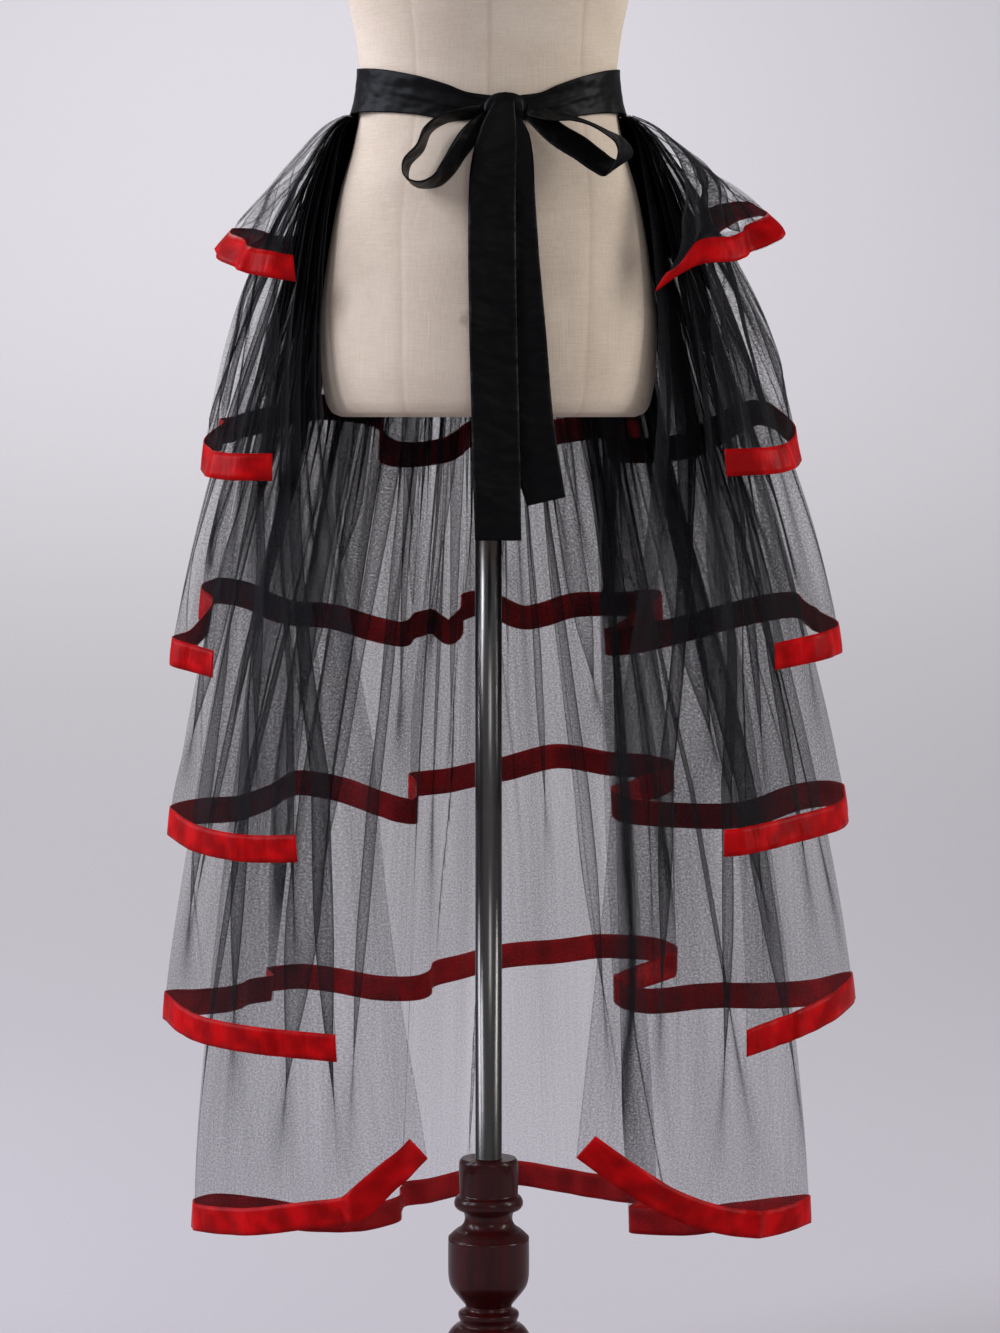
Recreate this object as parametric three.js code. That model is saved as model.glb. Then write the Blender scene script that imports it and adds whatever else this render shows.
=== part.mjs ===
// A tiered tulle bustle skirt, open at the front, tied with a satin sash on a limbless dress form.
// Millimetres, +Z up. The front of the garment faces -Y and its left side, as seen from the front, is -X.
// The origin is the middle of the stand's underside, on the axis of the pole.
import * as THREE from 'three';

// Cloth thicknesses and the gaps that keep pieces apart
const TULLE_WALL = 1.0;
const RIBBON_WALL = 1.0;
const SASH_WALL = 1.2;
const SEAM_GAP = 0.35;
const TOP_GAP = 0.9;

// Waist and sash
const WAIST_HALF_WIDTH = 119.5;
const WAIST_HALF_DEPTH = 84.5;
const SASH_FOOT = 1250;
const SASH_STANDOFF = 1.4;

// Tiers of tulle, number 1 outermost and shortest, number 6 innermost and longest
const TIER_COUNT = 6;
const HEM_RIBBON = 25;
const PLEATS_PER_TIER = 28;
const FIRST_LAYER_OUT = 2.2;
const LAYER_PITCH = 1.65;
const PITCH_GROWTH = 0.07;
const PITCH_MORE = 4.5;
const GATHER_FRONT_DEG = 8;
const GATHER_DEPTH = 1.1;
const GATHER_FADE = 45;
const PUFF_DROP = 8;
const EDGE_EASE = 0.12;

// Stand
const POLE_RADIUS = 12.5;
const SOCKET_DEPTH = 45;
const BASE_TOP = 36;

// Turns a list of rows into objects that carry the column names.
const table = (columns, rows) =>
  rows.map((row) => Object.fromEntries(columns.map((name, i) => [name, row[i]])));

// Sections of the dress form, upwards: half width, reach to the front and reach to the back
const FORM_SECTIONS = table(['z', 'half', 'front', 'back'], [
  [972, 136, 88, 90],
  [976, 145, 97, 100],
  [988, 151, 103, 107],
  [1016, 155, 107, 113],
  [1052, 156, 107, 115],
  [1117, 149, 101, 110],
  [1172, 139, 94, 101],
  [1225, 124, 86.5, 89],
  [1252, 119.5, 84, 84],
  [1285, 118.5, 84, 83],
  [1319, 122, 88, 84],
  [1358, 130, 96, 88],
  [1412, 141, 111, 93],
  [1462, 149, 118, 97],
  [1515, 154, 112, 101],
  [1570, 160, 97, 102],
  [1612, 163, 84, 97],
  [1637, 146, 72, 86],
  [1654, 112, 62, 74],
  [1668, 72, 56, 64],
  [1688, 56, 53, 55],
  [1732, 53, 51, 51],
  [1738, 47, 45, 45],
]);

// Hem lines: one row for each fold from the front left end round the back to the front right end
const FOLD_COLUMNS = ['across', 'back', 'height'];
const HEMS = [
  {
    tier: 1, spread: 1.05, puff: 16,
    folds: table(FOLD_COLUMNS, [
      [-174, -78, 1094], [-205, -74, 1099], [-232, -56, 1106], [-251, -18, 1125], [-236, 34, 1128],
      [-212, 84, 1122], [-174, 132, 1124], [-130, 156, 1112], [-84, 186, 1118], [-30, 188, 1106],
      [26, 208, 1114], [80, 198, 1106], [130, 194, 1120], [170, 150, 1124], [208, 100, 1140],
      [238, 54, 1156], [260, 8, 1155], [262, -32, 1135], [228, -66, 1114], [188, -78, 1108], [151, -74, 1085],
    ]),
  },
  {
    tier: 2, spread: 1.7, puff: 12,
    folds: table(FOLD_COLUMNS, [
      [-184, -78, 914], [-226, -62, 915], [-262, -26, 924], [-250, 14, 940], [-240, 62, 948],
      [-206, 116, 958], [-160, 168, 968], [-120, 192, 950], [-84, 184, 924], [-42, 200, 926],
      [-10, 238, 944], [34, 250, 938], [80, 252, 946], [130, 246, 952], [145, 222, 946], [132, 190, 932],
      [144, 164, 927], [180, 120, 932], [230, 66, 962], [262, 26, 960], [284, -14, 934], [250, -54, 922],
      [204, -78, 918],
    ]),
  },
  {
    tier: 3, spread: 1.35, puff: 12,
    folds: table(FOLD_COLUMNS, [
      [-250, -84, 735], [-290, -52, 745], [-272, -10, 752], [-256, 22, 768], [-266, 60, 792],
      [-240, 114, 790], [-200, 168, 770], [-154, 214, 762], [-112, 208, 750], [-82, 200, 746],
      [-62, 234, 757], [-34, 222, 745], [-8, 262, 774], [32, 252, 759], [90, 272, 771],
      [142, 276, 772], [163, 251, 774], [146, 208, 746], [156, 182, 738], [196, 158, 754], [250, 118, 772],
      [292, 72, 781], [298, 30, 772], [326, -22, 757], [304, -66, 750], [260, -86, 742],
    ]),
  },
  {
    tier: 4, spread: 1.3, puff: 12,
    folds: table(FOLD_COLUMNS, [
      [-163, -112, 570], [-215, -96, 568], [-268, -66, 574], [-294, -22, 586], [-274, 34, 588],
      [-242, 90, 585], [-212, 150, 590], [-188, 208, 598], [-150, 226, 590], [-112, 214, 578],
      [-78, 200, 570], [-66, 232, 588], [-30, 268, 597], [20, 284, 606], [70, 292, 617], [120, 290, 610],
      [164, 280, 607], [173, 254, 603], [150, 210, 586], [160, 184, 574], [206, 152, 571], [254, 114, 578],
      [300, 76, 598], [330, 28, 604], [330, -18, 592], [282, -66, 584], [203, -104, 574],
    ]),
  },
  {
    tier: 5, spread: 1.3, puff: 14,
    folds: table(FOLD_COLUMNS, [
      [-130, -124, 390], [-206, -106, 393], [-270, -66, 399], [-300, -20, 412], [-278, 36, 406],
      [-246, 88, 402], [-220, 146, 404], [-196, 204, 406], [-156, 224, 400], [-112, 216, 393], [-66, 216, 394],
      [-36, 246, 406], [14, 276, 416], [70, 292, 419], [122, 300, 423], [172, 290, 420], [178, 258, 416],
      [148, 210, 394], [158, 186, 385], [214, 156, 394], [272, 112, 401], [314, 66, 411], [342, 10, 426],
      [324, -44, 418], [288, -80, 405], [234, -114, 392],
    ]),
  },
  {
    tier: 6, spread: 1.4, puff: 14,
    folds: table(FOLD_COLUMNS, [
      [-56, -104, 297], [-85, -124, 272], [-113, -130, 246], [-164, -116, 234], [-222, -86, 222],
      [-276, -36, 217], [-262, 16, 214], [-220, 64, 200], [-170, 104, 184], [-112, 136, 180], [-90, 172, 188],
      [-44, 220, 192], [20, 242, 202], [64, 232, 198], [116, 214, 192], [154, 192, 191], [158, 158, 186],
      [148, 126, 180], [186, 96, 182], [240, 58, 197], [284, 22, 210], [300, -22, 220], [252, -68, 216],
      [204, -96, 227], [156, -114, 248], [120, -122, 272], [80, -116, 300],
    ]),
  },
];

// Small vector helpers on [x, y, z] triples
const add = (a, b, k = 1) => [a[0] + b[0] * k, a[1] + b[1] * k, a[2] + b[2] * k];
const sub = (a, b) => add(a, b, -1);
const cross = (a, b) => [a[1] * b[2] - a[2] * b[1], a[2] * b[0] - a[0] * b[2], a[0] * b[1] - a[1] * b[0]];
const unit = (a) => {
  const size = Math.hypot(...a) || 1;
  return a.map((value) => value / size);
};
const mix = (a, b, k) => a + (b - a) * k;
const radians = (degrees) => (degrees * Math.PI) / 180;

// Straight-line reading of one column of a table, at a value of the table's first column
function readAt(rows, at, column) {
  const key = Object.keys(rows[0])[0];
  if (at <= rows[0][key]) return rows[0][column];
  for (let i = 1; i < rows.length; i += 1) {
    if (at <= rows[i][key]) {
      const share = (at - rows[i - 1][key]) / (rows[i][key] - rows[i - 1][key]);
      return mix(rows[i - 1][column], rows[i][column], share);
    }
  }
  return rows[rows.length - 1][column];
}

// Collects triangles of one closed solid.
class Solid {
  constructor() {
    this.points = [];
    this.faces = [];
  }

  point(p) {
    this.points.push(...p);
    return this.points.length / 3 - 1;
  }

  quad(a, b, c, d) {
    this.faces.push(a, b, c, a, c, d);
  }

  // A fan over a ring of points, in the ring's own turning direction
  cap(ring) {
    for (let i = 1; i < ring.length - 1; i += 1) this.faces.push(ring[0], ring[i], ring[i + 1]);
  }

  geometry() {
    const made = new THREE.BufferGeometry();
    made.setAttribute('position', new THREE.Float32BufferAttribute(this.points, 3));
    made.setIndex(this.faces);
    made.computeVertexNormals();
    return made;
  }
}

// Unit normals of a grid of points, grid[row][column], by differences to the neighbours.
// Rows run down the cloth and columns run from left round the back to right, so the normal points outwards.
function gridNormals(grid, closed = false) {
  const rows = grid.length;
  const columns = grid[0].length;
  return grid.map((line, j) => line.map((_, i) => {
    const before = closed ? (i - 1 + columns) % columns : Math.max(i - 1, 0);
    const after = closed ? (i + 1) % columns : Math.min(i + 1, columns - 1);
    const along = sub(line[after], line[before]);
    const down = sub(grid[Math.min(j + 1, rows - 1)][i], grid[Math.max(j - 1, 0)][i]);
    return unit(cross(along, down));
  }));
}

// A cloth wall: the grid moved out by one distance for the outer face and by another for the inner one.
function wallSolid(grid, outer, inner, closed = false) {
  const solid = new Solid();
  const normals = gridNormals(grid, closed);
  const face = (distance) => grid.map((line, j) => line.map((p, i) => solid.point(add(p, normals[j][i], distance))));
  const out = face(outer);
  const back = face(inner);
  const rows = grid.length;
  const columns = grid[0].length;
  const last = closed ? columns : columns - 1;
  for (let i = 0; i < last; i += 1) {
    const n = (i + 1) % columns;
    for (let j = 0; j < rows - 1; j += 1) {
      solid.quad(out[j][i], out[j][n], out[j + 1][n], out[j + 1][i]);
      solid.quad(back[j][i], back[j + 1][i], back[j + 1][n], back[j][n]);
    }
    solid.quad(out[0][i], back[0][i], back[0][n], out[0][n]);
    solid.quad(out[rows - 1][i], out[rows - 1][n], back[rows - 1][n], back[rows - 1][i]);
  }
  if (!closed) {
    for (let j = 0; j < rows - 1; j += 1) {
      solid.quad(out[j][0], out[j + 1][0], back[j + 1][0], back[j][0]);
      solid.quad(out[j][columns - 1], back[j][columns - 1], back[j + 1][columns - 1], out[j + 1][columns - 1]);
    }
  }
  return solid.geometry();
}

// A loft through horizontal rings, closed by a flat cap at each end.
function ringLoft(rings) {
  const solid = new Solid();
  const numbers = rings.map((ring) => ring.map((p) => solid.point(p)));
  const count = rings[0].length;
  for (let j = 0; j < rings.length - 1; j += 1) {
    for (let i = 0; i < count; i += 1) {
      const n = (i + 1) % count;
      solid.quad(numbers[j][i], numbers[j][n], numbers[j + 1][n], numbers[j + 1][i]);
    }
  }
  solid.cap([...numbers[0]].reverse());
  solid.cap(numbers[numbers.length - 1]);
  return solid.geometry();
}

// Dress form: each section is an ellipse with its own reach to the front and to the back.
const FORM_SIDES = 24;
function formRing(z, half, front, back) {
  return Array.from({ length: FORM_SIDES }, (_, i) => {
    const turn = (2 * Math.PI * i) / FORM_SIDES;
    const depth = Math.sin(turn) < 0 ? front : back;
    return [half * Math.cos(turn), depth * Math.sin(turn), z];
  });
}

// How far an ellipse reaches in a direction.
const ellipseReach = (angle, half, depth) => 1 / Math.hypot(Math.cos(angle) / half, Math.sin(angle) / depth);

// How far the dress form reaches in a direction at a height.
// Below its lower edge the cloth hangs free and may draw in evenly.
const FORM_FOOT = FORM_SECTIONS[0].z;
const HANG_EDGE = 990;
const HANG_NARROWING = 1500;
function formReach(angle, z) {
  const level = Math.max(z, HANG_EDGE);
  const narrow = Math.max(0.2, 1 - Math.max(0, HANG_EDGE - z) / HANG_NARROWING);
  const half = readAt(FORM_SECTIONS, level, 'half') * narrow;
  const depth = readAt(FORM_SECTIONS, level, Math.sin(angle) < 0 ? 'front' : 'back') * narrow;
  return ellipseReach(angle, half, depth);
}

// Each hem as a smooth curve through its folds, read as reach and height over the angle round the pole.
// Samples that would turn back in angle are left out, so that a hem has one reach in each direction.
const HEM_SAMPLES = 360;
const TIERS = HEMS.map((hem) => {
  const knots = hem.folds.map((fold) => new THREE.Vector3(fold.across, fold.back, fold.height));
  const curve = new THREE.CatmullRomCurve3(knots, false, 'centripetal');
  const line = [];
  for (const { x, y, z } of curve.getPoints(HEM_SAMPLES)) {
    const turn = Math.atan2(y, x);
    const angle = y < 0 && x < 0 ? turn + 2 * Math.PI : turn;
    const before = line[line.length - 1];
    if (!before || angle < before.angle - 0.001) {
      const run = before ? before.run + Math.hypot(x - before.x, y - before.y) : 0;
      line.push({ x, y, angle, run, reach: Math.hypot(x, y), height: z });
    }
  }
  return { ...hem, line, out: FIRST_LAYER_OUT + LAYER_PITCH * (TIER_COUNT - hem.tier) };
});

// The place on a hem line where a column reaches a value, as a sample number with a fraction
function findOnLine(line, column, value) {
  const rising = line[line.length - 1][column] > line[0][column];
  let low = 0;
  let high = line.length - 1;
  while (high - low > 1) {
    const middle = (low + high) >> 1;
    if ((line[middle][column] <= value) === rising) low = middle;
    else high = middle;
  }
  const share = (value - line[low][column]) / (line[high][column] - line[low][column]);
  return low + Math.min(Math.max(share, 0), 1);
}

function readOnLine(line, place, column) {
  const low = Math.min(Math.floor(place), line.length - 2);
  return mix(line[low][column], line[low + 1][column], place - low);
}

// Rounded choice of the larger of two reaches
function softMax(own, least, soft) {
  const over = (own - least) / soft;
  return over > 30 ? own : least + soft * Math.log1p(Math.exp(over));
}

// Share of the way from the waist edge to the hem's own angle
const EDGE_TRAVEL = table(['t', 'share'], [[0, 0], [0.26, 0.24], [0.6, 0.74], [1, 1]]);
const GATHER_START = radians(180 + GATHER_FRONT_DEG);
const GATHER_END = radians(-GATHER_FRONT_DEG);

// The angle of one of a tier's two free front edges at a height
function edgeAngle(tier, gather, end, z) {
  const share = Math.min(1, Math.max(0, SASH_FOOT - z) / (SASH_FOOT - end.height));
  return mix(gather, end.angle, readAt(EDGE_TRAVEL, share, 'share'));
}

// What the next tier out has to clear: this tier where it has cloth, easing past its free edges to what is
// under it, down to the form.
function coverReach(tier, angle, z) {
  if (!tier) return formReach(angle, z) + FIRST_LAYER_OUT - LAYER_PITCH;
  const before = angle - edgeAngle(tier, GATHER_START, tier.line[0], z);
  const after = edgeAngle(tier, GATHER_END, tier.line[tier.line.length - 1], z) - angle;
  const past = Math.min(Math.max(before, after, 0) / EDGE_EASE, 1);
  const ease = past * past * (3 - 2 * past);
  const own = ease < 1 ? tierReach(tier, angle, z) : 0;
  const under = ease > 0 ? coverReach(TIERS[tier.tier], angle, z) : 0;
  return mix(own, under, ease);
}

// How far a tier reaches in a direction at a height. It runs from the waist ellipse to the hem line, fast at
// first and then slower, and always keeps outside what is under it.
function tierReach(tier, angle, z) {
  const drop = Math.max(0, SASH_FOOT - z);
  const place = findOnLine(tier.line, 'angle', angle);
  const share = Math.min(1, drop / (SASH_FOOT - readOnLine(tier.line, place, 'height')));
  const waist = ellipseReach(angle, WAIST_HALF_WIDTH + tier.out, WAIST_HALF_DEPTH + tier.out);
  const puff = tier.puff * (1 - share) ** 2 * (1 - Math.exp(-drop / PUFF_DROP));
  const own = mix(waist, readOnLine(tier.line, place, 'reach'), 1 - (1 - share) ** tier.spread) + puff;
  const clear = LAYER_PITCH + Math.min(drop * PITCH_GROWTH, PITCH_MORE);
  const aside = tier.tier < TIER_COUNT ? clear / own : 0;
  const least = Math.max(...[-aside, 0, aside].map((turn) => coverReach(TIERS[tier.tier], angle + turn, z)));
  return softMax(own, least + clear, Math.min(0.05 + drop * 0.05, 5));
}

// A point of a tier for two shares: s along the cloth's width and t from the gathered edge to the hem
function tierPoint(tier, s, t) {
  const foot = findOnLine(tier.line, 'run', s * tier.line[tier.line.length - 1].run);
  const hemAngle = readOnLine(tier.line, foot, 'angle');
  const angle = mix(mix(GATHER_START, GATHER_END, s), hemAngle, readAt(EDGE_TRAVEL, t, 'share'));
  const z = mix(SASH_FOOT - TOP_GAP, readOnLine(tier.line, foot, 'height'), t);
  const reach = tierReach(tier, angle, z);
  return [reach * Math.cos(angle), reach * Math.sin(angle), z];
}

// Columns alternate between the crest and the valley of a pleat. Pleats are deepest just under the sash.
// Rows are closer near the sash, where the cloth bends most, and the last two hold the ribbon.
const COLUMNS_PER_TIER = 2 * PLEATS_PER_TIER;
const ROWS = { 1: 4, 2: 4, 3: 4, 4: 5, 5: 5, 6: 6 };
function tierGrid(tier) {
  const columns = Array.from({ length: COLUMNS_PER_TIER + 1 }, (_, i) => {
    const s = i / COLUMNS_PER_TIER;
    const end = Math.hypot(...sub(tierPoint(tier, s, 1), tierPoint(tier, s, 0.85)));
    const ribbonTop = 1 - (0.15 * HEM_RIBBON) / end;
    const count = ROWS[tier.tier];
    const upper = Array.from({ length: count }, (__, j) => ribbonTop * (j / count) ** 1.4);
    return [...upper, ribbonTop, 1].map((t) => tierPoint(tier, s, t));
  });
  const smooth = columns[0].map((_, j) => columns.map((column) => column[j]));
  const normals = gridNormals(smooth);
  return smooth.map((line, j) => line.map((p, i) => {
    const depth = GATHER_DEPTH * Math.exp((p[2] - SASH_FOOT) / GATHER_FADE) * (i % 2 ? 1 : -1);
    return add(p, normals[j][i], depth);
  }));
}

const group = new THREE.Group();
const material = (color, roughness, metalness = 0) => new THREE.MeshStandardMaterial({ color, roughness, metalness });
const FINISH = {
  tulle: material(0x141417, 0.75),
  red: material(0xc8101a, 0.38),
  sash: material(0x101012, 0.42),
  linen: material(0xcfc5b2, 0.9),
  wood: material(0x35100f, 0.22),
  steel: material(0xb9b8b2, 0.16, 1),
};
function place(name, geometry, finish) {
  const mesh = new THREE.Mesh(geometry, finish);
  mesh.name = name;
  group.add(mesh);
}

// Tulle tiers with the satin ribbon sewn on the outside of each hem
for (const tier of TIERS) {
  const grid = tierGrid(tier);
  const half = TULLE_WALL / 2;
  place(`tulle_tier_${tier.tier}`, wallSolid(grid, half, -half), FINISH.tulle);
  const ribbonInner = half + SEAM_GAP;
  place(`hem_ribbon_${tier.tier}`, wallSolid(grid.slice(-2), ribbonInner + RIBBON_WALL, ribbonInner), FINISH.red);
}

// Dress form and its stand
place('form_torso', ringLoft(FORM_SECTIONS.map((f) => formRing(f.z, f.half, f.front, f.back))), FINISH.linen);

const LATHE_SIDES = 20;
function turned(profile) {
  const points = profile.map(([radius, z]) => new THREE.Vector2(radius, z));
  const made = new THREE.LatheGeometry(points, LATHE_SIDES);
  made.rotateX(Math.PI / 2);
  return made;
}

place('stand_base', turned([
  [0, 0], [178, 0], [180, 2.5], [180, 17], [175, 21], [150, 25], [108, 29], [72, 33], [56, BASE_TOP], [0, BASE_TOP],
]), FINISH.wood);

const COLUMN_TOP = 277;
place('stand_column', turned([
  [0, BASE_TOP + SEAM_GAP], [50, BASE_TOP + SEAM_GAP], [51, 40], [49, 47], [38, 55], [31, 66], [30, 76],
  [36, 86], [40, 96], [40.5, 103], [38, 110], [31, 118], [27, 122], [28.5, 127], [26, 132], [21.5, 137],
  [27, 144], [34, 152], [37.6, 162], [38, 180], [38, 202], [30, 209], [23, 217], [22.5, 223],
  [28, 228], [32, 234], [31, 239], [27.5, 242], [27.5, 274], [25.5, COLUMN_TOP],
  [POLE_RADIUS + SEAM_GAP, COLUMN_TOP], [POLE_RADIUS + SEAM_GAP, COLUMN_TOP - SOCKET_DEPTH],
  [0, COLUMN_TOP - SOCKET_DEPTH],
]), FINISH.wood);

const poleFoot = COLUMN_TOP - SOCKET_DEPTH + SEAM_GAP;
const poleTop = FORM_FOOT - SEAM_GAP;
const pole = new THREE.CylinderGeometry(POLE_RADIUS, POLE_RADIUS, poleTop - poleFoot, 20);
pole.rotateX(Math.PI / 2);
pole.translate(0, 0, (poleTop + poleFoot) / 2);
place('stand_pole', pole, FINISH.steel);

// Sash round the waist by the angle away from the knot, which pulls it narrow and low at the front.
// flare is how far the lower edge stands out over the gathers at the sides and the back.
const SASH_SIDES = 36;
const KNOT_TURN = radians(7);
const SASH_SHAPE = table(['away', 'top', 'foot', 'out', 'flare'], [
  [0, 1260, 1240, 1.2, 0],
  [15, 1264, 1239.5, 1.0, 0],
  [25, 1272, 1240.5, 0.6, 0],
  [40, 1281, 1245.5, 0.3, 0],
  [60, 1288, 1249, 0, 1],
  [76, 1290.5, SASH_FOOT, 0, 5.5],
  [95, 1292, SASH_FOOT, 0, 6.5],
  [180, 1292, SASH_FOOT, 0, 6.5],
]);
const SASH_NAMES = ['top', 'foot', 'out', 'flare'];
const sashRows = [0, 0.35, 0.7, 1].map((share) => Array.from({ length: SASH_SIDES }, (_, i) => {
  const fromKnot = (360 * i) / SASH_SIDES;
  const away = Math.min(fromKnot, 360 - fromKnot);
  const shape = Object.fromEntries(SASH_NAMES.map((name) => [name, readAt(SASH_SHAPE, away, name)]));
  const z = mix(shape.top, shape.foot, share);
  const turn = radians(-90 - fromKnot) + KNOT_TURN * Math.cos(radians(away) / 2) ** 2;
  const out = SASH_STANDOFF + shape.out + shape.flare * share * share;
  const half = Math.max(readAt(FORM_SECTIONS, z, 'half'), WAIST_HALF_WIDTH) + out;
  const front = Math.max(readAt(FORM_SECTIONS, z, 'front'), WAIST_HALF_DEPTH) + out;
  const back = Math.max(readAt(FORM_SECTIONS, z, 'back'), WAIST_HALF_DEPTH) + out;
  return [half * Math.cos(turn), (Math.sin(turn) < 0 ? front : back) * Math.sin(turn), z];
}));
place('sash_band', wallSolid(sashRows, SASH_WALL / 2, -SASH_WALL / 2, true), FINISH.sash);

// A flat strip of cloth along a table of stations: middle point, width and the direction of the width.
// turn is about the strip's own line, 0 for a strip whose width lies across the body.
const STRIP_COLUMNS = ['across', 'back', 'height', 'width', 'lean', 'face'];
function stripGrid(rows, steps, acrossCount) {
  const line = new THREE.CatmullRomCurve3(rows.map((r) => new THREE.Vector3(r.across, r.back, r.height)), false, 'centripetal');
  const column = (name, share) => {
    const at = share * (rows.length - 1);
    const i = Math.min(Math.floor(at), rows.length - 2);
    return mix(rows[i][name], rows[i + 1][name], at - i);
  };
  return Array.from({ length: steps + 1 }, (_, j) => {
    const share = j / steps;
    const middle = line.getPoint(share).toArray();
    const lean = radians(column('lean', share));
    const face = radians(column('face', share));
    const wide = [Math.cos(lean) * Math.cos(face), Math.sin(face), Math.sin(lean) * Math.cos(face)];
    const width = column('width', share);
    return Array.from({ length: acrossCount + 1 }, (__, i) => add(middle, wide, width * (i / acrossCount - 0.5)));
  });
}

// Strips of the bow. lean is the direction of the width as seen from the front, anticlockwise from the right,
// and face turns the far edge of the width towards the back.
const STRIPS = {
  tail_front: { steps: 9, across: 2, rows: table(STRIP_COLUMNS, [
    [15, -96.5, 1258, 16, 0, 0], [9.5, -101, 1233, 31, 0, 0], [5.5, -105, 1204, 40, 0, 0],
    [4, -107, 1184, 42, 0, 0], [3.5, -110.5, 1130, 43, 0, 0], [4.5, -114.5, 1050, 43, 0, 0],
    [7, -116, 950, 43, 0, 0], [9, -116.5, 861, 42, 0, 0],
  ]) },
  tail_back: { steps: 8, across: 2, rows: table(STRIP_COLUMNS, [
    [20, -96.4, 1243, 16, 0, 0], [24, -98.5, 1226, 26, 0, -2], [21.5, -102.5, 1190, 40, 0, -3],
    [24, -106.5, 1130, 42, 0, -4], [31, -110.5, 1050, 42, 1, -5], [39, -111.5, 960, 42, 5, -5],
    [46, -111.5, 922, 40, 10, -7], [52.5, -111.5, 896, 36, 13, -8],
  ]) },
  loop_left: { steps: 18, across: 1, rows: table(STRIP_COLUMNS, [
    [-3.4, -92.2, 1247, 12, -70, 20], [-22, -98.5, 1243.5, 18, -60, 55], [-40, -103, 1239, 25, -45, 72],
    [-54, -105, 1229, 30, -37, 78], [-61, -107, 1213, 32, -37, 78], [-73, -109, 1199, 32, -37, 78],
    [-73, -110, 1186, 32, -40, 80], [-63, -110, 1180, 32, -50, 80], [-47, -109, 1183, 33, -50, 74],
    [-36, -107, 1195, 33, -40, 66], [-26, -104, 1211, 32, -37, 62], [-15, -98.5, 1226, 24, -37, 45],
    [1, -95, 1240, 16, -50, 10],
  ]) },
  loop_right: { steps: 18, across: 1, rows: table(STRIP_COLUMNS, [
    [34.1, -91.6, 1249, 12, 80, 20], [58, -98.5, 1242, 18, 60, 55], [78, -102, 1239, 22, 60, 76],
    [93, -104, 1234, 25, 60, 80], [106, -106, 1227, 27, 55, 78], [118, -108, 1219, 29, 30, 70],
    [123, -109, 1209, 30, 10, 62], [119, -109, 1199, 30, 30, 58], [109, -108, 1195, 30, 55, 50],
    [97, -107, 1202, 30, 60, 45], [82, -105, 1213, 30, 60, 42], [64, -102, 1224, 28, 60, 40],
    [37, -93.8, 1246, 14, 60, 10],
  ]) },
};
for (const [name, strip] of Object.entries(STRIPS)) {
  place(name, wallSolid(stripGrid(strip.rows, strip.steps, strip.across), SASH_WALL / 2, -SASH_WALL / 2), FINISH.sash);
}

// The knot, a rounded pillow of wrapped cloth in front of the sash
const KNOT = { across: 15.5, back: -91.65, height: 1250, half: 19, deep: 4.4, tall: 14 };
const knotRings = [-1, -0.8, -0.35, 0.2, 0.7, 1].map((share) => {
  const wide = Math.sqrt(Math.max(0.12, 1 - share * share));
  return Array.from({ length: 14 }, (_, i) => {
    const turn = (2 * Math.PI * i) / 14;
    return [
      KNOT.across + KNOT.half * wide * Math.cos(turn),
      KNOT.back + KNOT.deep * wide * Math.sin(turn),
      KNOT.height + KNOT.tall * share,
    ];
  });
});
place('bow_knot', ringLoft(knotRings), FINISH.sash);

export default group;
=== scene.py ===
import math

import bpy
import numpy as np
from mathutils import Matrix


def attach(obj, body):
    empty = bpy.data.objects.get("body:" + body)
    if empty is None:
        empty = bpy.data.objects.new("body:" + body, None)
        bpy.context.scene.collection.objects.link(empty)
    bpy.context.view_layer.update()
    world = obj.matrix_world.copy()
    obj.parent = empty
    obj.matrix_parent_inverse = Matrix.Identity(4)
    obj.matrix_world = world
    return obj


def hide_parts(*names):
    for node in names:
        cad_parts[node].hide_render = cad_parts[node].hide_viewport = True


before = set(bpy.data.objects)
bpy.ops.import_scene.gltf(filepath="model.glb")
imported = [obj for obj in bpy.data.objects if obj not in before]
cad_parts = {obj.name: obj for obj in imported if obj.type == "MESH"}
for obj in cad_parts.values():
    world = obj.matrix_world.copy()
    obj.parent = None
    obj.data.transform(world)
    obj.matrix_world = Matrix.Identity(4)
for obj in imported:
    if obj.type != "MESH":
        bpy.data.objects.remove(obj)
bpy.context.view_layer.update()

# A tiered tulle bustle skirt with red satin hems and a black satin sash, on a limbless dress form and stand.
# Shapes are worked out in millimetres, in the frame of the CAD, and become metres in the mesh.
MM = 0.001


# Camera: level with the middle of the skirt and tipped down a little
CAMERA_PLACE = (0.0107, -3.6, 0.9783)
CAMERA_TIP = 3.79
CAMERA_LENS = 104.54


def place_camera():
    view = bpy.data.cameras.new("camera")
    view.lens = CAMERA_LENS
    view.sensor_width = 36
    stand = bpy.data.objects.new("camera", view)
    stand.location = CAMERA_PLACE
    stand.rotation_euler = (math.radians(90 - CAMERA_TIP), 0, 0)
    bpy.context.collection.objects.link(stand)
    bpy.context.scene.camera = stand


place_camera()


# Meshes

def linear(code):
    """An sRGB hex colour as Blender's linear colour."""
    parts = np.array([int(code[i:i + 2], 16) for i in (1, 3, 5)]) / 255
    light = np.where(parts <= 0.04045, parts / 12.92, ((parts + 0.055) / 1.055) ** 2.4)
    return (*light.tolist(), 1.0)


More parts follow.
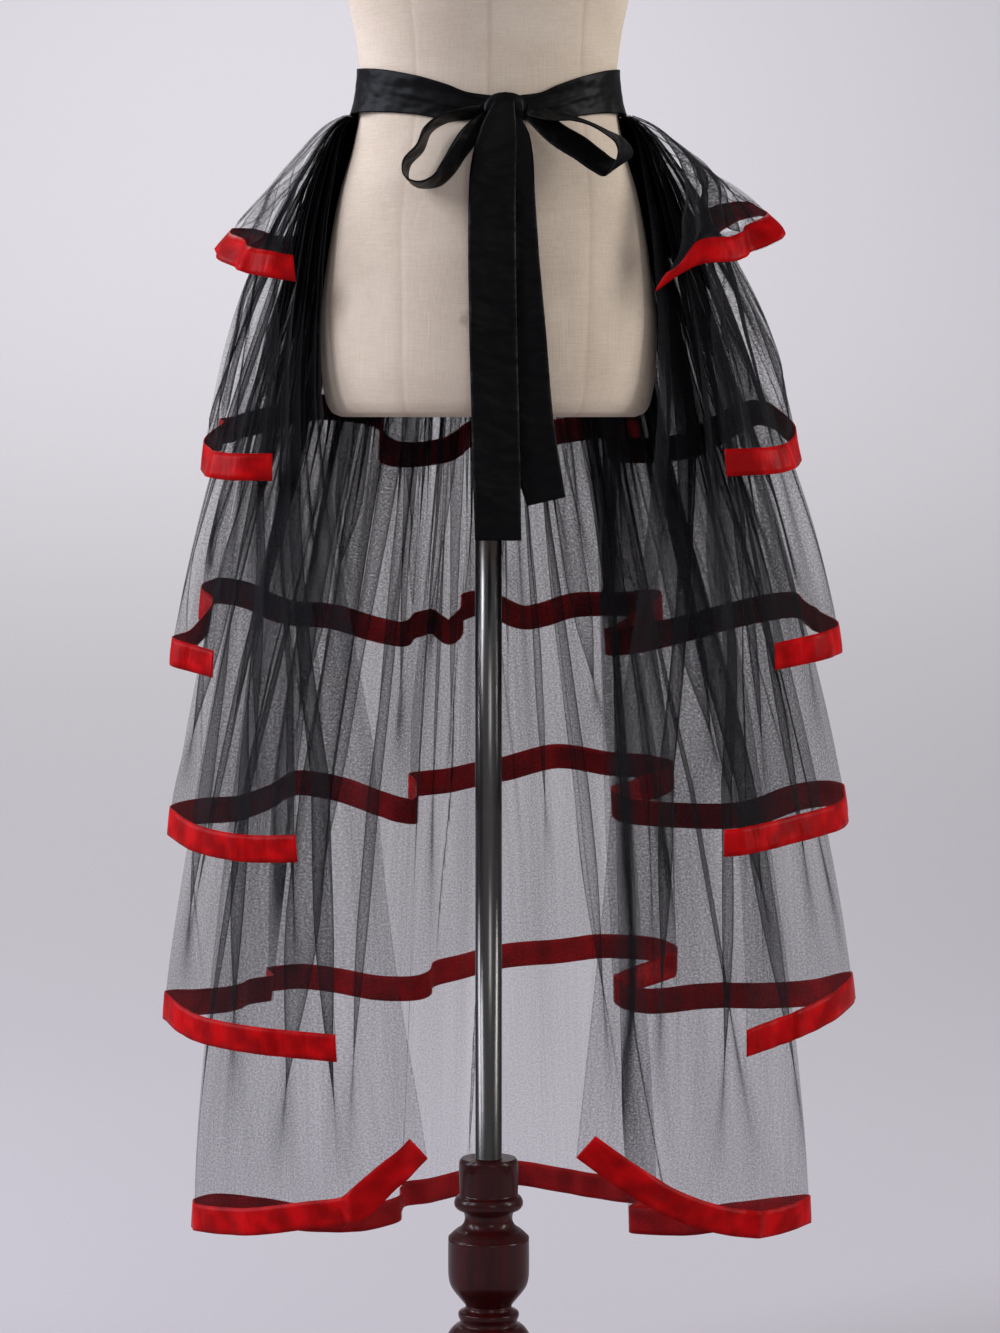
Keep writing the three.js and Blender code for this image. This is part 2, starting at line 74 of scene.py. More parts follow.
def grid_piece(name, points, finishes, around=False, cloth=None, marks=None):
    """A smooth mesh over points[row, column]. Columns run anticlockwise and rows upwards, or both the other
    way, so that the faces point outwards. around joins the last column to the first. cloth holds two numbers
    for each point, the place on the flat cloth in metres, and marks holds more named numbers."""
    rows, columns = points.shape[:2]
    number = np.arange(rows * columns).reshape(rows, columns)
    if around:
        number = np.concatenate([number, number[:, :1]], axis=1)
    corners = [number[:-1, :-1], number[:-1, 1:], number[1:, 1:], number[1:, :-1]]
    quads = np.stack(corners, axis=-1).reshape(-1, 4)
    mesh = bpy.data.meshes.new(name)
    mesh.from_pydata((points.reshape(-1, 3) * MM).tolist(), [], quads.tolist())
    mesh.polygons.foreach_set("use_smooth", np.ones(len(quads), dtype=bool))
    if cloth is not None:
        ends = np.empty(len(mesh.loops), dtype=np.int32)
        mesh.loops.foreach_get("vertex_index", ends)
        layer = mesh.uv_layers.new(name="cloth")
        layer.uv.foreach_set("vector", cloth.reshape(-1, 2)[ends].astype(np.float32).ravel())
    for mark, values in (marks or {}).items():
        spot = mesh.attributes.new(mark, "FLOAT", "POINT")
        spot.data.foreach_set("value", values.astype(np.float32).ravel())
    for finish in finishes:
        mesh.materials.append(finish)
    mesh.update()
    piece = bpy.data.objects.new(name, mesh)
    bpy.context.collection.objects.link(piece)
    return piece


def add_wall(piece, thickness, inner_finish=0):
    """Gives a sheet its thickness, half to each side. The inner face may take the next material."""
    wall = piece.modifiers.new("wall", "SOLIDIFY")
    wall.thickness = thickness * MM
    wall.offset = 0
    wall.use_even_offset = True
    wall.material_offset = inner_finish
    return wall


def settle(piece, slot, *nodes):
    """The piece stands for CAD nodes, which it hides, and rides on the one body. slot is not used."""
    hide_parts(*nodes)
    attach(piece, "root")
    return piece


def unit(v):
    """Vectors along the last axis, made one long."""
    return v / np.maximum(np.linalg.norm(v, axis=-1, keepdims=True), 1e-9)


def grid_normals(points):
    """Outward normals of a grid: the cross product of its differences along columns and along rows."""
    return unit(np.cross(np.gradient(points, axis=1), np.gradient(points, axis=0)))


def smooth_path(stops, count):
    """Centripetal Catmull-Rom curve through the stops' first three columns, at count + 1 even shares of its
    stops: each span is a cubic whose end slopes weigh the chords beside it by the roots of their lengths."""
    knots = np.asarray(stops, dtype=float)[:, :3]
    line = np.vstack([2 * knots[0] - knots[1], knots, 2 * knots[-1] - knots[-2]])
    place = np.linspace(0, len(knots) - 1, count + 1)
    first = np.minimum(place.astype(int), len(knots) - 2)
    part = (place - first)[:, None]
    a, b, c, d = (line[first + k] for k in range(4))
    before, here, after = (
        np.sqrt(np.linalg.norm(q - p, axis=1))[:, None] for p, q in ((a, b), (b, c), (c, d))
    )
    start = ((b - a) / before - (c - a) / (before + here) + (c - b) / here) * here
    end = ((c - b) / here - (d - b) / (here + after) + (d - c) / after) * here
    square = -3 * b + 3 * c - 2 * start - end
    cube = 2 * b - 2 * c + start + end
    return b + start * part + square * part ** 2 + cube * part ** 3


def smooth_read(table, at, column):
    """Soft reading of a table's column at values of its first column: a cubic between rows, whose slopes are
    the mean of the neighbouring slopes, held to the smaller side so that it never overshoots."""
    key = np.array([row[0] for row in table], dtype=float)
    value = np.array([row[column] for row in table], dtype=float)
    rise = np.diff(value) / np.diff(key)
    inner = np.where(rise[1:] * rise[:-1] > 0, 2 * rise[1:] * rise[:-1] / (rise[1:] + rise[:-1] + 1e-12), 0)
    slope = np.concatenate([rise[:1], inner, rise[-1:]])
    at = np.clip(at, key[0], key[-1])
    low = np.clip(np.searchsorted(key, at, side="right") - 1, 0, len(key) - 2)
    gap = key[low + 1] - key[low]
    k = (at - key[low]) / gap
    return (value[low] * (1 + 2 * k) * (1 - k) ** 2 + slope[low] * gap * k * (1 - k) ** 2
            + value[low + 1] * k * k * (3 - 2 * k) + slope[low + 1] * gap * k * k * (k - 1))


def read(table, at, column):
    """Straight-line reading of a table's column at values of its first column."""
    return np.interp(at, [row[0] for row in table], [row[column] for row in table])


def smooth_step(value):
    """0 below 0, 1 above 1 and an even curve between."""
    k = np.clip(value, 0, 1)
    return k * k * (3 - 2 * k)


def wander(at, seed, waves=7):
    """A smooth wandering value between about -1 and 1: a sum of sines whose rates, phases and sizes are drawn
    once from the seed."""
    draw = np.random.default_rng(seed)
    rate = np.arange(1, waves + 1) * draw.uniform(0.8, 1.25, waves)
    phase = draw.uniform(0, 2 * np.pi, waves)
    size = draw.uniform(0.5, 1.0, waves)
    parts = size * np.sin(np.asarray(at)[..., None] * rate * 2 * np.pi + phase)
    return parts.sum(axis=-1) / np.sqrt((size ** 2).sum())


# Materials

def add(tree, kind, fills=None, **settings):
    """Adds a node. fills gives inputs by name or number: a socket is linked and anything else is a value."""
    node = tree.nodes.new(kind)
    for name, value in settings.items():
        setattr(node, name, value)
    for name, value in (fills or {}).items():
        if isinstance(value, bpy.types.NodeSocket):
            tree.links.new(value, node.inputs[name])
        else:
            node.inputs[name].default_value = value
    return node


def new_finish(name, plain):
    """A material with one Principled shader, its plain values set on the sockets."""
    finish = bpy.data.materials.new(name)
    finish.use_nodes = True
    tree = finish.node_tree
    tree.nodes.clear()
    skin = add(tree, "ShaderNodeBsdfPrincipled", plain)
    add(tree, "ShaderNodeOutputMaterial", {"Surface": skin.outputs["BSDF"]})
    return finish, tree, skin


def blend_colours(tree, share, stops):
    """A colour ramp over a share, from (place, hex colour) stops."""
    ramp = add(tree, "ShaderNodeValToRGB", {"Fac": share})
    band = ramp.color_ramp
    for number, (place, code) in enumerate(stops):
        stop = band.elements[number] if number < 2 else band.elements.new(place)
        stop.position = place
        stop.color = linear(code)
    return ramp.outputs["Color"]


# Nylon tulle, a fine open net dyed black. One layer hides about a fifth of what is behind it.
# Folded layers add up to nearly black, and in a fold's edge the threads crowd to a dark line.
NET_COVER = 0.182
NET_SPECKLE = 0.12
SPECKLE_OVER_STREAK = 4.0
SPECKLE_SIZE = 1.9 * MM     # the net's own holes are 1 mm, too fine to show, so it is drawn coarser


def black_tulle():
    finish, tree, skin = new_finish("tulle_nylon_net_black", {
        "Base Color": linear("#101014"), "Roughness": 0.75, "Specular IOR Level": 0.2,
    })
    run = add(tree, "ShaderNodeUVMap", uv_map="cloth").outputs["UV"]
    speckle = add(tree, "ShaderNodeTexNoise", {"Vector": run, "Scale": 1 / SPECKLE_SIZE, "Detail": 2.0},
                  noise_dimensions="2D").outputs["Fac"]
    stretched = add(tree, "ShaderNodeMapping", {"Vector": run, "Scale": (420, 5, 1)}).outputs["Vector"]
    streak = add(tree, "ShaderNodeTexNoise", {"Vector": stretched, "Scale": 1.0, "Detail": 1.0},
                 noise_dimensions="2D").outputs["Fac"]
    grain = add(tree, "ShaderNodeMath", {0: speckle, 1: SPECKLE_OVER_STREAK, 2: streak},
                operation="MULTIPLY_ADD").outputs[0]
    net = add(tree, "ShaderNodeMapRange", {
        "Value": grain, "From Min": 1.5, "From Max": 3.5,
        "To Min": 1 - NET_COVER + NET_SPECKLE, "To Max": 1 - NET_COVER - NET_SPECKLE,
    }).outputs["Result"]
    crowding = add(tree, "ShaderNodeAttribute", attribute_name="crowding").outputs["Fac"]
    open_part = add(tree, "ShaderNodeMath", {0: net, 1: crowding}, operation="POWER").outputs[0]
    cover = add(tree, "ShaderNodeMath", {0: 1.0, 1: open_part}, operation="SUBTRACT",
                use_clamp=True).outputs[0]
    tree.links.new(cover, skin.inputs["Alpha"])
    return finish


def red_satin():
    """Polyester satin ribbon: long floats across the width give a soft shine that breaks into patches, here
    painted into the base colour as painted sheen.
    """
    finish, tree, skin = new_finish("satin_ribbon_red_face_painted_sheen", {"Roughness": 0.42, "Specular IOR Level": 0.06})
    run = add(tree, "ShaderNodeUVMap", uv_map="cloth").outputs["UV"]
    patch = add(tree, "ShaderNodeTexNoise", {"Vector": run, "Scale": 42.0, "Detail": 1.5},
                noise_dimensions="2D").outputs["Fac"]
    # Painted sheen: lighter and darker patches of red in the base colour stand for the satin's broken shine.
    colour = blend_colours(tree, patch, [(0.32, "#880306"), (0.5, "#a00508"), (0.68, "#b8070c")])
    tree.links.new(colour, skin.inputs["Base Color"])
    creases = add(tree, "ShaderNodeMapping", {"Vector": run, "Scale": (95, 24, 1)}).outputs["Vector"]
    pucker = add(tree, "ShaderNodeTexNoise", {"Vector": creases, "Scale": 1.0, "Detail": 2.0},
                 noise_dimensions="2D").outputs["Fac"]
    relief = add(tree, "ShaderNodeBump", {
        "Height": pucker, "Strength": 0.5, "Distance": 2.2 * MM,
    }).outputs["Normal"]
    tree.links.new(relief, skin.inputs["Normal"])
    return finish


def red_reverse():
    """The ribbon's back, without floats: dull and darker."""
    finish, tree, skin = new_finish("satin_ribbon_red_back", {"Roughness": 0.7, "Specular IOR Level": 0.25})
    run = add(tree, "ShaderNodeUVMap", uv_map="cloth").outputs["UV"]
    patch = add(tree, "ShaderNodeTexNoise", {"Vector": run, "Scale": 30.0, "Detail": 2.0},
                noise_dimensions="2D").outputs["Fac"]
    colour = blend_colours(tree, patch, [(0.3, "#8e050a"), (0.7, "#c20b11")])
    tree.links.new(colour, skin.inputs["Base Color"])
    return finish


def black_satin():
    """Black duchess satin: nearly black, with a dull shine that follows soft creases across the cloth."""
    finish, tree, skin = new_finish("satin_sash_black", {"Roughness": 0.46, "Specular IOR Level": 0.09})
    run = add(tree, "ShaderNodeUVMap", uv_map="cloth").outputs["UV"]
    patch = add(tree, "ShaderNodeTexNoise", {"Vector": run, "Scale": 16.0, "Detail": 2.0},
                noise_dimensions="2D").outputs["Fac"]
    colour = blend_colours(tree, patch, [(0.3, "#030304"), (0.7, "#080809")])
    tree.links.new(colour, skin.inputs["Base Color"])
    creases = add(tree, "ShaderNodeMapping", {"Vector": run, "Scale": (26, 40, 1)}).outputs["Vector"]
    soft = add(tree, "ShaderNodeTexNoise", {"Vector": creases, "Scale": 1.0, "Detail": 2.0},
               noise_dimensions="2D").outputs["Fac"]
    relief = add(tree, "ShaderNodeBump", {
        "Height": soft, "Strength": 0.7, "Distance": 6 * MM,
    }).outputs["Normal"]
    tree.links.new(relief, skin.inputs["Normal"])
    return finish


THREADS_PER_METRE = 900     # linen has nearly twice as many, too fine to show, so the weave is drawn coarser
FORM_PANELS = 8


def form_linen():
    """Unbleached linen over papier mache: plain weave with slubs, seams pressed flat, a few faint stains."""
    finish, tree, skin = new_finish("linen_cover_unbleached", {"Roughness": 0.88, "Specular IOR Level": 0.2})
    place = add(tree, "ShaderNodeTexCoord").outputs["Object"]
    across = add(tree, "ShaderNodeMapping", {
        "Vector": place, "Scale": (60, 60, THREADS_PER_METRE),
    }).outputs["Vector"]
    down = add(tree, "ShaderNodeMapping", {
        "Vector": place, "Scale": (THREADS_PER_METRE, THREADS_PER_METRE, 30),
    }).outputs["Vector"]
    weft = add(tree, "ShaderNodeTexNoise", {"Vector": across, "Scale": 1.0, "Detail": 2.0}).outputs["Fac"]
    warp = add(tree, "ShaderNodeTexNoise", {"Vector": down, "Scale": 1.0, "Detail": 2.0}).outputs["Fac"]
    weave = add(tree, "ShaderNodeMath", {0: weft, 1: warp}, operation="ADD").outputs[0]
    age = add(tree, "ShaderNodeTexNoise", {"Vector": place, "Scale": 9.0, "Detail": 3.0}).outputs["Fac"]
    mixed = add(tree, "ShaderNodeMath", {0: weave, 1: 0.36, 2: age}, operation="MULTIPLY_ADD").outputs[0]
    toned = add(tree, "ShaderNodeMath", {0: mixed, 1: 0.58}, operation="MULTIPLY").outputs[0]
    cloth = blend_colours(tree, toned, [(0.3, "#bbab98"), (0.5, "#cfbfac"), (0.7, "#dccfbf")])
    seam = add(tree, "ShaderNodeAttribute", attribute_name="seam").outputs["Fac"]
    lined = add(tree, "ShaderNodeMix", {0: seam, 6: cloth, 7: linear("#b19a88")}, data_type="RGBA").outputs[2]
    specks = add(tree, "ShaderNodeTexNoise", {"Vector": place, "Scale": 34.0, "Detail": 2.0}).outputs["Fac"]
    stain = add(tree, "ShaderNodeMapRange", {
        "Value": specks, "From Min": 0.72, "From Max": 0.8, "To Max": 0.45,
    }).outputs["Result"]
    marked = add(tree, "ShaderNodeMix", {0: stain, 6: lined, 7: linear("#8c7c6c")},
                 data_type="RGBA").outputs[2]
    tree.links.new(marked, skin.inputs["Base Color"])
    relief = add(tree, "ShaderNodeBump", {
        "Height": weave, "Strength": 0.35, "Distance": 0.5 * MM,
    }).outputs["Normal"]
    tree.links.new(relief, skin.inputs["Normal"])
    return finish


def mahogany():
    """Beech turned and stained to mahogany, with a thick gloss lacquer: a clear coat over dark red-brown."""
    finish, tree, skin = new_finish("mahogany_stained_beech_lacquered", {
        "Roughness": 0.42, "Specular IOR Level": 0.15, "Coat Weight": 0.22, "Coat Roughness": 0.08,
    })
    place = add(tree, "ShaderNodeTexCoord").outputs["Object"]
    fibres = add(tree, "ShaderNodeMapping", {"Vector": place, "Scale": (110, 110, 9)}).outputs["Vector"]
    grain = add(tree, "ShaderNodeTexNoise", {"Vector": fibres, "Scale": 1.0, "Detail": 4.0}).outputs["Fac"]
    colour = blend_colours(tree, grain, [(0.25, "#270404"), (0.55, "#360606"), (0.8, "#460908")])
    tree.links.new(colour, skin.inputs["Base Color"])
    return finish


def bright_steel():
    """Chromed steel tube, drawn lengthways: sharp reflections, broken by faint lines along the tube."""
    finish, tree, skin = new_finish("steel_tube_chromed", {
        "Base Color": linear("#6f6d6b"), "Metallic": 1.0, "Roughness": 0.24,
    })
    place = add(tree, "ShaderNodeTexCoord").outputs["Object"]
    drawn = add(tree, "ShaderNodeMapping", {"Vector": place, "Scale": (320, 320, 2)}).outputs["Vector"]
    lines = add(tree, "ShaderNodeTexNoise", {"Vector": drawn, "Scale": 1.0, "Detail": 2.0}).outputs["Fac"]
    relief = add(tree, "ShaderNodeBump", {
        "Height": lines, "Strength": 0.25, "Distance": 0.3 * MM,
    }).outputs["Normal"]
    tree.links.new(relief, skin.inputs["Normal"])
    return finish


def studio_paper():
    """Matt seamless paper with painted shade: a grade in its colour from a darker floor at the front to a
    lighter wall.
    """
    finish, tree, skin = new_finish("studio_paper_painted_shade_grade", {"Roughness": 0.9, "Specular IOR Level": 0.2})
    place = add(tree, "ShaderNodeTexCoord").outputs["Object"]
    back = add(tree, "ShaderNodeSeparateXYZ", {"Vector": place}).outputs["Y"]
    share = add(tree, "ShaderNodeMapRange", {"Value": back, "From Max": 13.8}).outputs["Result"]
    # Painted shade: the paper's colour darkens along the floor towards the front and lightens up the wall.
    colour = blend_colours(tree, share, [(0.0, "#b4afb3"), (0.13, "#bebabe"), (1.0, "#dddadf")])
    tree.links.new(colour, skin.inputs["Base Color"])
    return finish


TULLE = black_tulle()
RIBBON = [red_satin(), red_reverse()]
SATIN = black_satin()
LINEN = form_linen()
WOOD = mahogany()
STEEL = bright_steel()


# Dress form: height, half width, reach to the front and reach to the back
FORM_SECTIONS = [
    (972, 136, 88, 90), (976, 145, 97, 100), (988, 151, 103, 107), (1016, 155, 107, 113),
    (1052, 156, 107, 115), (1117, 149, 101, 110), (1172, 139, 94, 101), (1225, 124, 86.5, 89),
    (1252, 119.5, 84, 84), (1285, 118.5, 84, 83), (1319, 122, 88, 84), (1358, 130, 96, 88),
    (1412, 141, 111, 93), (1462, 149, 118, 97), (1515, 154, 112, 101), (1570, 160, 97, 102),
    (1612, 163, 84, 97), (1637, 146, 72, 86), (1654, 112, 62, 74), (1668, 72, 56, 64),
    (1688, 56, 53, 55), (1732, 53, 51, 51), (1738, 47, 45, 45),
]
# Turn of each seam round the form at a few heights, in degrees: right front, right side, right back,
# centre back, left back, left side, left front. The centre front is the start and the end.
FORM_SEAMS = [
    (972, -88, -55, 0, 48, 90, 132, 180, 239, 272), (1052, -88.5, -54, 0, 49, 90, 131, 180, 239.5, 271.5),
    (1172, -89, -48, 0, 51, 90, 129, 180, 236, 271), (1252, -89.5, -43, 0, 54, 90, 126, 180, 236, 270.5),
    (1340, -89.5, -46, 0, 52, 90, 128, 180, 236, 270.5), (1500, -89.5, -53, 0, 46, 90, 134, 180, 233, 270.5),
    (1612, -89.5, -48, 0, 42, 90, 138, 180, 228, 270.5), (1738, -89.5, -45, 0, 45, 90, 135, 180, 225, 270.5),
]
SEAM_DEPTH = 0.004          # share of the form's reach that a seam's groove goes in
SEAM_HALF_WIDTH = 0.45      # in columns of the mesh
SEAM_LINE = 0.5             # half width of the darker line on it, in columns too
SEAM_DARKNESS = 0.4


def make_form():
    """Rows are heights and columns are shares of the eight panels. A column's turn runs straight between the
    panel's two seams, and the point is on an ellipse of the section's half width and its reach to the front
    or the back. Seams are shallow grooves, and the two ends close flat."""
    heights = np.concatenate([
        np.linspace(972, 990, 14), np.linspace(992, 1640, 160), np.linspace(1643, 1738, 44),
    ])
    per_panel = 24
    share = np.arange(FORM_PANELS * per_panel) / per_panel
    z, panel = np.meshgrid(heights, share, indexing="ij")
    low = np.floor(panel).astype(int)
    turns = np.stack([smooth_read(FORM_SEAMS, heights, k + 1) for k in range(FORM_PANELS + 1)], axis=1)
    row = np.arange(len(heights))[:, None]
    turn = np.radians(turns[row, low] + (turns[row, low + 1] - turns[row, low]) * (panel - low))
    half = smooth_read(FORM_SECTIONS, z, 1)
    depth = np.where(np.sin(turn) < 0, smooth_read(FORM_SECTIONS, z, 2), smooth_read(FORM_SECTIONS, z, 3))
    x, y = half * np.cos(turn), depth * np.sin(turn)
    from_seam = np.abs(panel - np.round(panel))
    groove = 1 - SEAM_DEPTH * np.exp(-(from_seam * per_panel / SEAM_HALF_WIDTH) ** 2)
    skin = np.stack([x * groove, y * groove, z], axis=-1)
    closing = np.array([(0.9, 0.9, 1), (0.62, 0.62, 1), (0.3, 0.3, 1), (0.001, 0.001, 1)])[:, None, :]
    points = np.concatenate([(skin[0] * closing)[::-1], skin, skin[-1] * closing])
    seam = np.exp(-(from_seam * per_panel / SEAM_LINE) ** 2) * SEAM_DARKNESS
    unmarked = np.zeros((len(closing), seam.shape[1]))
    marks = np.concatenate([unmarked, seam, unmarked])
    form = grid_piece("dress_form", points, [LINEN], around=True, marks={"seam": marks})
    return settle(form, "linen", "form_torso")


def turned(name, profile, finish, slot, node, spin=96):
    """A turned piece: the profile's radius and height, carried round the stand's axis."""
    path = np.asarray(profile, dtype=float)
    angle = np.arange(spin) * 2 * np.pi / spin
    radius, height = path[:, :1], path[:, 1:]
    points = np.stack([radius * np.cos(angle), radius * np.sin(angle), height + 0 * angle], axis=-1)
    return settle(grid_piece(name, points, [finish], around=True), slot, node)


def rounded(stops, count):
    """A profile through its stops: a repeated stop is a corner, and the lines between corners are smooth."""
    parts = []
    run = [stops[0]]
    for stop in stops[1:]:
        if stop == run[-1]:
            parts.append(run)
            run = [stop]
        else:
            run.append(stop)
    parts.append(run)
    lines = []
    for run in parts:
        if len(run) == 2:
            lines.append(np.linspace(run[0], run[1], 3))
        elif len(run) > 2:
            flat = [(radius, height, 0) for radius, height in run]
            lines.append(smooth_path(flat, count * (len(run) - 1))[:, :2])
    return np.concatenate(lines)


def make_stand():
    column = [
        (0.01, 36.35), (50, 36.35), (50, 36.35), (51.2, 38), (51, 41), (49.6, 45), (49, 47), (49, 47),
        (44, 50), (38, 55), (33, 61), (31, 66), (31, 66), (30, 70), (30, 75), (32, 80), (36, 86), (39.4, 93),
        (40.6, 99), (40.3, 105), (38, 110), (34.5, 115), (31, 118), (31, 118), (27.4, 119.6), (26.8, 122),
        (27.6, 124.5), (28.6, 127.5), (28.2, 130.5), (26, 132), (26, 132), (22.5, 134), (21.4, 137),
        (21.4, 137), (24.5, 141), (29, 146.5), (33, 151.5), (36.2, 157), (37.8, 164), (38.2, 172),
        (38.2, 188), (38, 202), (38, 202), (34, 206), (30.5, 209), (30.5, 209), (26, 212), (23.2, 216),
        (22.4, 221), (23.4, 225), (25.5, 228), (25.5, 228), (29.6, 229), (32, 232), (32.2, 236), (30.4, 240),
        (27.6, 242), (27.6, 242), (27.8, 256), (27.8, 270), (27.4, 274), (25.5, 277), (25.5, 277),
        (12.85, 277), (12.85, 277), (12.85, 232), (12.85, 232), (0.01, 232),
    ]
    turned("stand_column_turned", rounded(column, 5), WOOD, "dark_wood", "stand_column")
    base = [
        (0.01, 0), (178, 0), (178, 0), (179.6, 1), (180, 3), (180, 3), (180, 15), (179.2, 18.6),
        (175.5, 20.8), (175.5, 20.8), (172, 22.2), (166, 23), (150, 25), (128, 27.4), (108, 29.4),
        (88, 31.8), (72, 33.6), (62, 35.2), (56, 36), (56, 36), (0.01, 36),
    ]
    turned("stand_base_turned", rounded(base, 4), WOOD, "dark_wood", "stand_base", 128)
    pole = [
        (0.01, 232.4), (12, 232.4), (12, 232.4), (12.5, 233), (12.5, 233),
        (12.5, 971), (12.5, 971), (12, 971.6), (12, 971.6), (0.01, 971.6),
    ]
    turned("stand_pole_tube", rounded(pole, 3), STEEL, "steel", "stand_pole", 64)


# Tulle tiers, number 1 outermost and shortest. Hem folds run from the front left end round the back to the
# front right end, as (across, back, height), in step with the part's source.
WAIST_HALF_WIDTH = 119.5
WAIST_HALF_DEPTH = 84.5
SASH_FOOT = 1250
TOP_GAP = 0.9
HEM_RIBBON = 25
FIRST_LAYER_OUT = 2.2
LAYER_PITCH = 1.65
PITCH_GROWTH = 0.07
PITCH_MORE = 4.5
PUFF_DROP = 8
EDGE_EASE = 0.12
HANG_EDGE = 990
HANG_NARROWING = 1500
EDGE_TRAVEL = [(0, 0), (0.26, 0.24), (0.6, 0.74), (1, 1)]
HEM_SAMPLES = 360
LEAST_TURN_ON = 0.0005      # turn by which each sample of a hem has to go on, in radians
SOFTNESS_AT_WAIST = 0.05    # how softly a tier comes to rest on what is under it, more so further down
SOFTNESS_GROWTH = 0.05
MOST_SOFTNESS = 5
GATHER_START = math.radians(188)
GATHER_END = math.radians(-8)
RIBBON_OUT = 1.35
RIBBON_WALL = 1.0
HEMS = {
    1: (1.05, 16, [
        (-174, -78, 1094), (-205, -74, 1099), (-232, -56, 1106), (-251, -18, 1125), (-236, 34, 1128),
        (-212, 84, 1122), (-174, 132, 1124), (-130, 156, 1112), (-84, 186, 1118), (-30, 188, 1106),
        (26, 208, 1114), (80, 198, 1106), (130, 194, 1120), (170, 150, 1124), (208, 100, 1140),
        (238, 54, 1156), (260, 8, 1155), (262, -32, 1135), (228, -66, 1114), (188, -78, 1108),
        (151, -74, 1085),
    ]),
    2: (1.7, 12, [
        (-184, -78, 914), (-226, -62, 915), (-262, -26, 924), (-250, 14, 940), (-240, 62, 948),
        (-206, 116, 958), (-160, 168, 968), (-120, 192, 950), (-84, 184, 924), (-42, 200, 926),
        (-10, 238, 944), (34, 250, 938), (80, 252, 946), (130, 246, 952), (145, 222, 946), (132, 190, 932),
        (144, 164, 927), (180, 120, 932), (230, 66, 962), (262, 26, 960), (284, -14, 934), (250, -54, 922),
        (204, -78, 918),
    ]),
    3: (1.35, 12, [
        (-250, -84, 735), (-290, -52, 745), (-272, -10, 752), (-256, 22, 768), (-266, 60, 792),
        (-240, 114, 790), (-200, 168, 770), (-154, 214, 762), (-112, 208, 750), (-82, 200, 746),
        (-62, 234, 757), (-34, 222, 745), (-8, 262, 774), (32, 252, 759), (90, 272, 771),
        (142, 276, 772), (163, 251, 774), (146, 208, 746), (156, 182, 738), (196, 158, 754), (250, 118, 772),
        (292, 72, 781), (298, 30, 772), (326, -22, 757), (304, -66, 750), (260, -86, 742),
    ]),
    4: (1.3, 12, [
        (-163, -112, 570), (-215, -96, 568), (-268, -66, 574), (-294, -22, 586), (-274, 34, 588),
        (-242, 90, 585), (-212, 150, 590), (-188, 208, 598), (-150, 226, 590), (-112, 214, 578),
        (-78, 200, 570), (-66, 232, 588), (-30, 268, 597), (20, 284, 606), (70, 292, 617), (120, 290, 610),
        (164, 280, 607), (173, 254, 603), (150, 210, 586), (160, 184, 574), (206, 152, 571), (254, 114, 578),
        (300, 76, 598), (330, 28, 604), (330, -18, 592), (282, -66, 584), (203, -104, 574),
    ]),
    5: (1.3, 14, [
        (-130, -124, 390), (-206, -106, 393), (-270, -66, 399), (-300, -20, 412), (-278, 36, 406),
        (-246, 88, 402), (-220, 146, 404), (-196, 204, 406), (-156, 224, 400), (-112, 216, 393),
        (-66, 216, 394), (-36, 246, 406), (14, 276, 416), (70, 292, 419), (122, 300, 423), (172, 290, 420),
        (178, 258, 416), (148, 210, 394), (158, 186, 385), (214, 156, 394), (272, 112, 401), (314, 66, 411),
        (342, 10, 426), (324, -44, 418), (288, -80, 405), (234, -114, 392),
    ]),
    6: (1.4, 14, [
        (-56, -104, 297), (-85, -124, 272), (-113, -130, 246), (-164, -116, 234), (-222, -86, 222),
        (-276, -36, 217), (-262, 16, 214), (-220, 64, 200), (-170, 104, 184), (-112, 136, 180),
        (-90, 172, 188), (-44, 220, 192), (20, 242, 202), (64, 232, 198), (116, 214, 192), (154, 192, 191),
        (158, 158, 186),
        (148, 126, 180), (186, 96, 182), (240, 58, 197), (284, 22, 210), (300, -22, 220), (252, -68, 216),
        (204, -96, 227), (156, -114, 248), (120, -122, 272), (80, -116, 300),
    ]),
}


def hem_line(tier):
    """The hem as arrays of turn round the pole, reach, height and length so far along it, without the samples
    that would turn back."""
    path = smooth_path(HEMS[tier][2], HEM_SAMPLES)
    turn = np.arctan2(path[:, 1], path[:, 0])
    turn = np.where((path[:, 0] < 0) & (path[:, 1] < 0), turn + 2 * np.pi, turn)
    least = np.concatenate([[np.inf], np.minimum.accumulate(turn)[:-1]])
    goes_on = turn < least - LEAST_TURN_ON
    kept = path[goes_on]
    steps = np.hypot(*np.diff(kept[:, :2], axis=0).T)
    return {
        "turn": turn[goes_on], "reach": np.hypot(kept[:, 0], kept[:, 1]), "height": kept[:, 2],
        "run": np.concatenate([[0], np.cumsum(steps)]),
    }


HEM_LINES = {tier: hem_line(tier) for tier in HEMS}


def ellipse_reach(turn, half, depth):
    """How far an ellipse reaches in a direction."""
    return 1 / np.hypot(np.cos(turn) / half, np.sin(turn) / depth)


def form_reach(turn, z):
    """How far the form reaches, and below its lower edge how far the cloth may draw in."""
    level = np.maximum(z, HANG_EDGE)
    narrow = 1 - np.maximum(0, HANG_EDGE - z) / HANG_NARROWING
    depth = np.where(np.sin(turn) < 0, read(FORM_SECTIONS, level, 2), read(FORM_SECTIONS, level, 3))
    return ellipse_reach(turn, read(FORM_SECTIONS, level, 1) * narrow, depth * narrow)


def tier_clearance(drop):
    """How far a tier keeps outside the next one in."""
    return LAYER_PITCH + np.minimum(drop * PITCH_GROWTH, PITCH_MORE)


def edge_turn(tier, z, gather, end):
    """The turn of one of a tier's two free front edges at a height, from the gathers to the hem's turn."""
    share = np.minimum(1, np.maximum(0, SASH_FOOT - z) / (SASH_FOOT - HEM_LINES[tier]["height"][end]))
    travel = np.interp(share, *zip(*EDGE_TRAVEL))
    return gather + (HEM_LINES[tier]["turn"][end] - gather) * travel


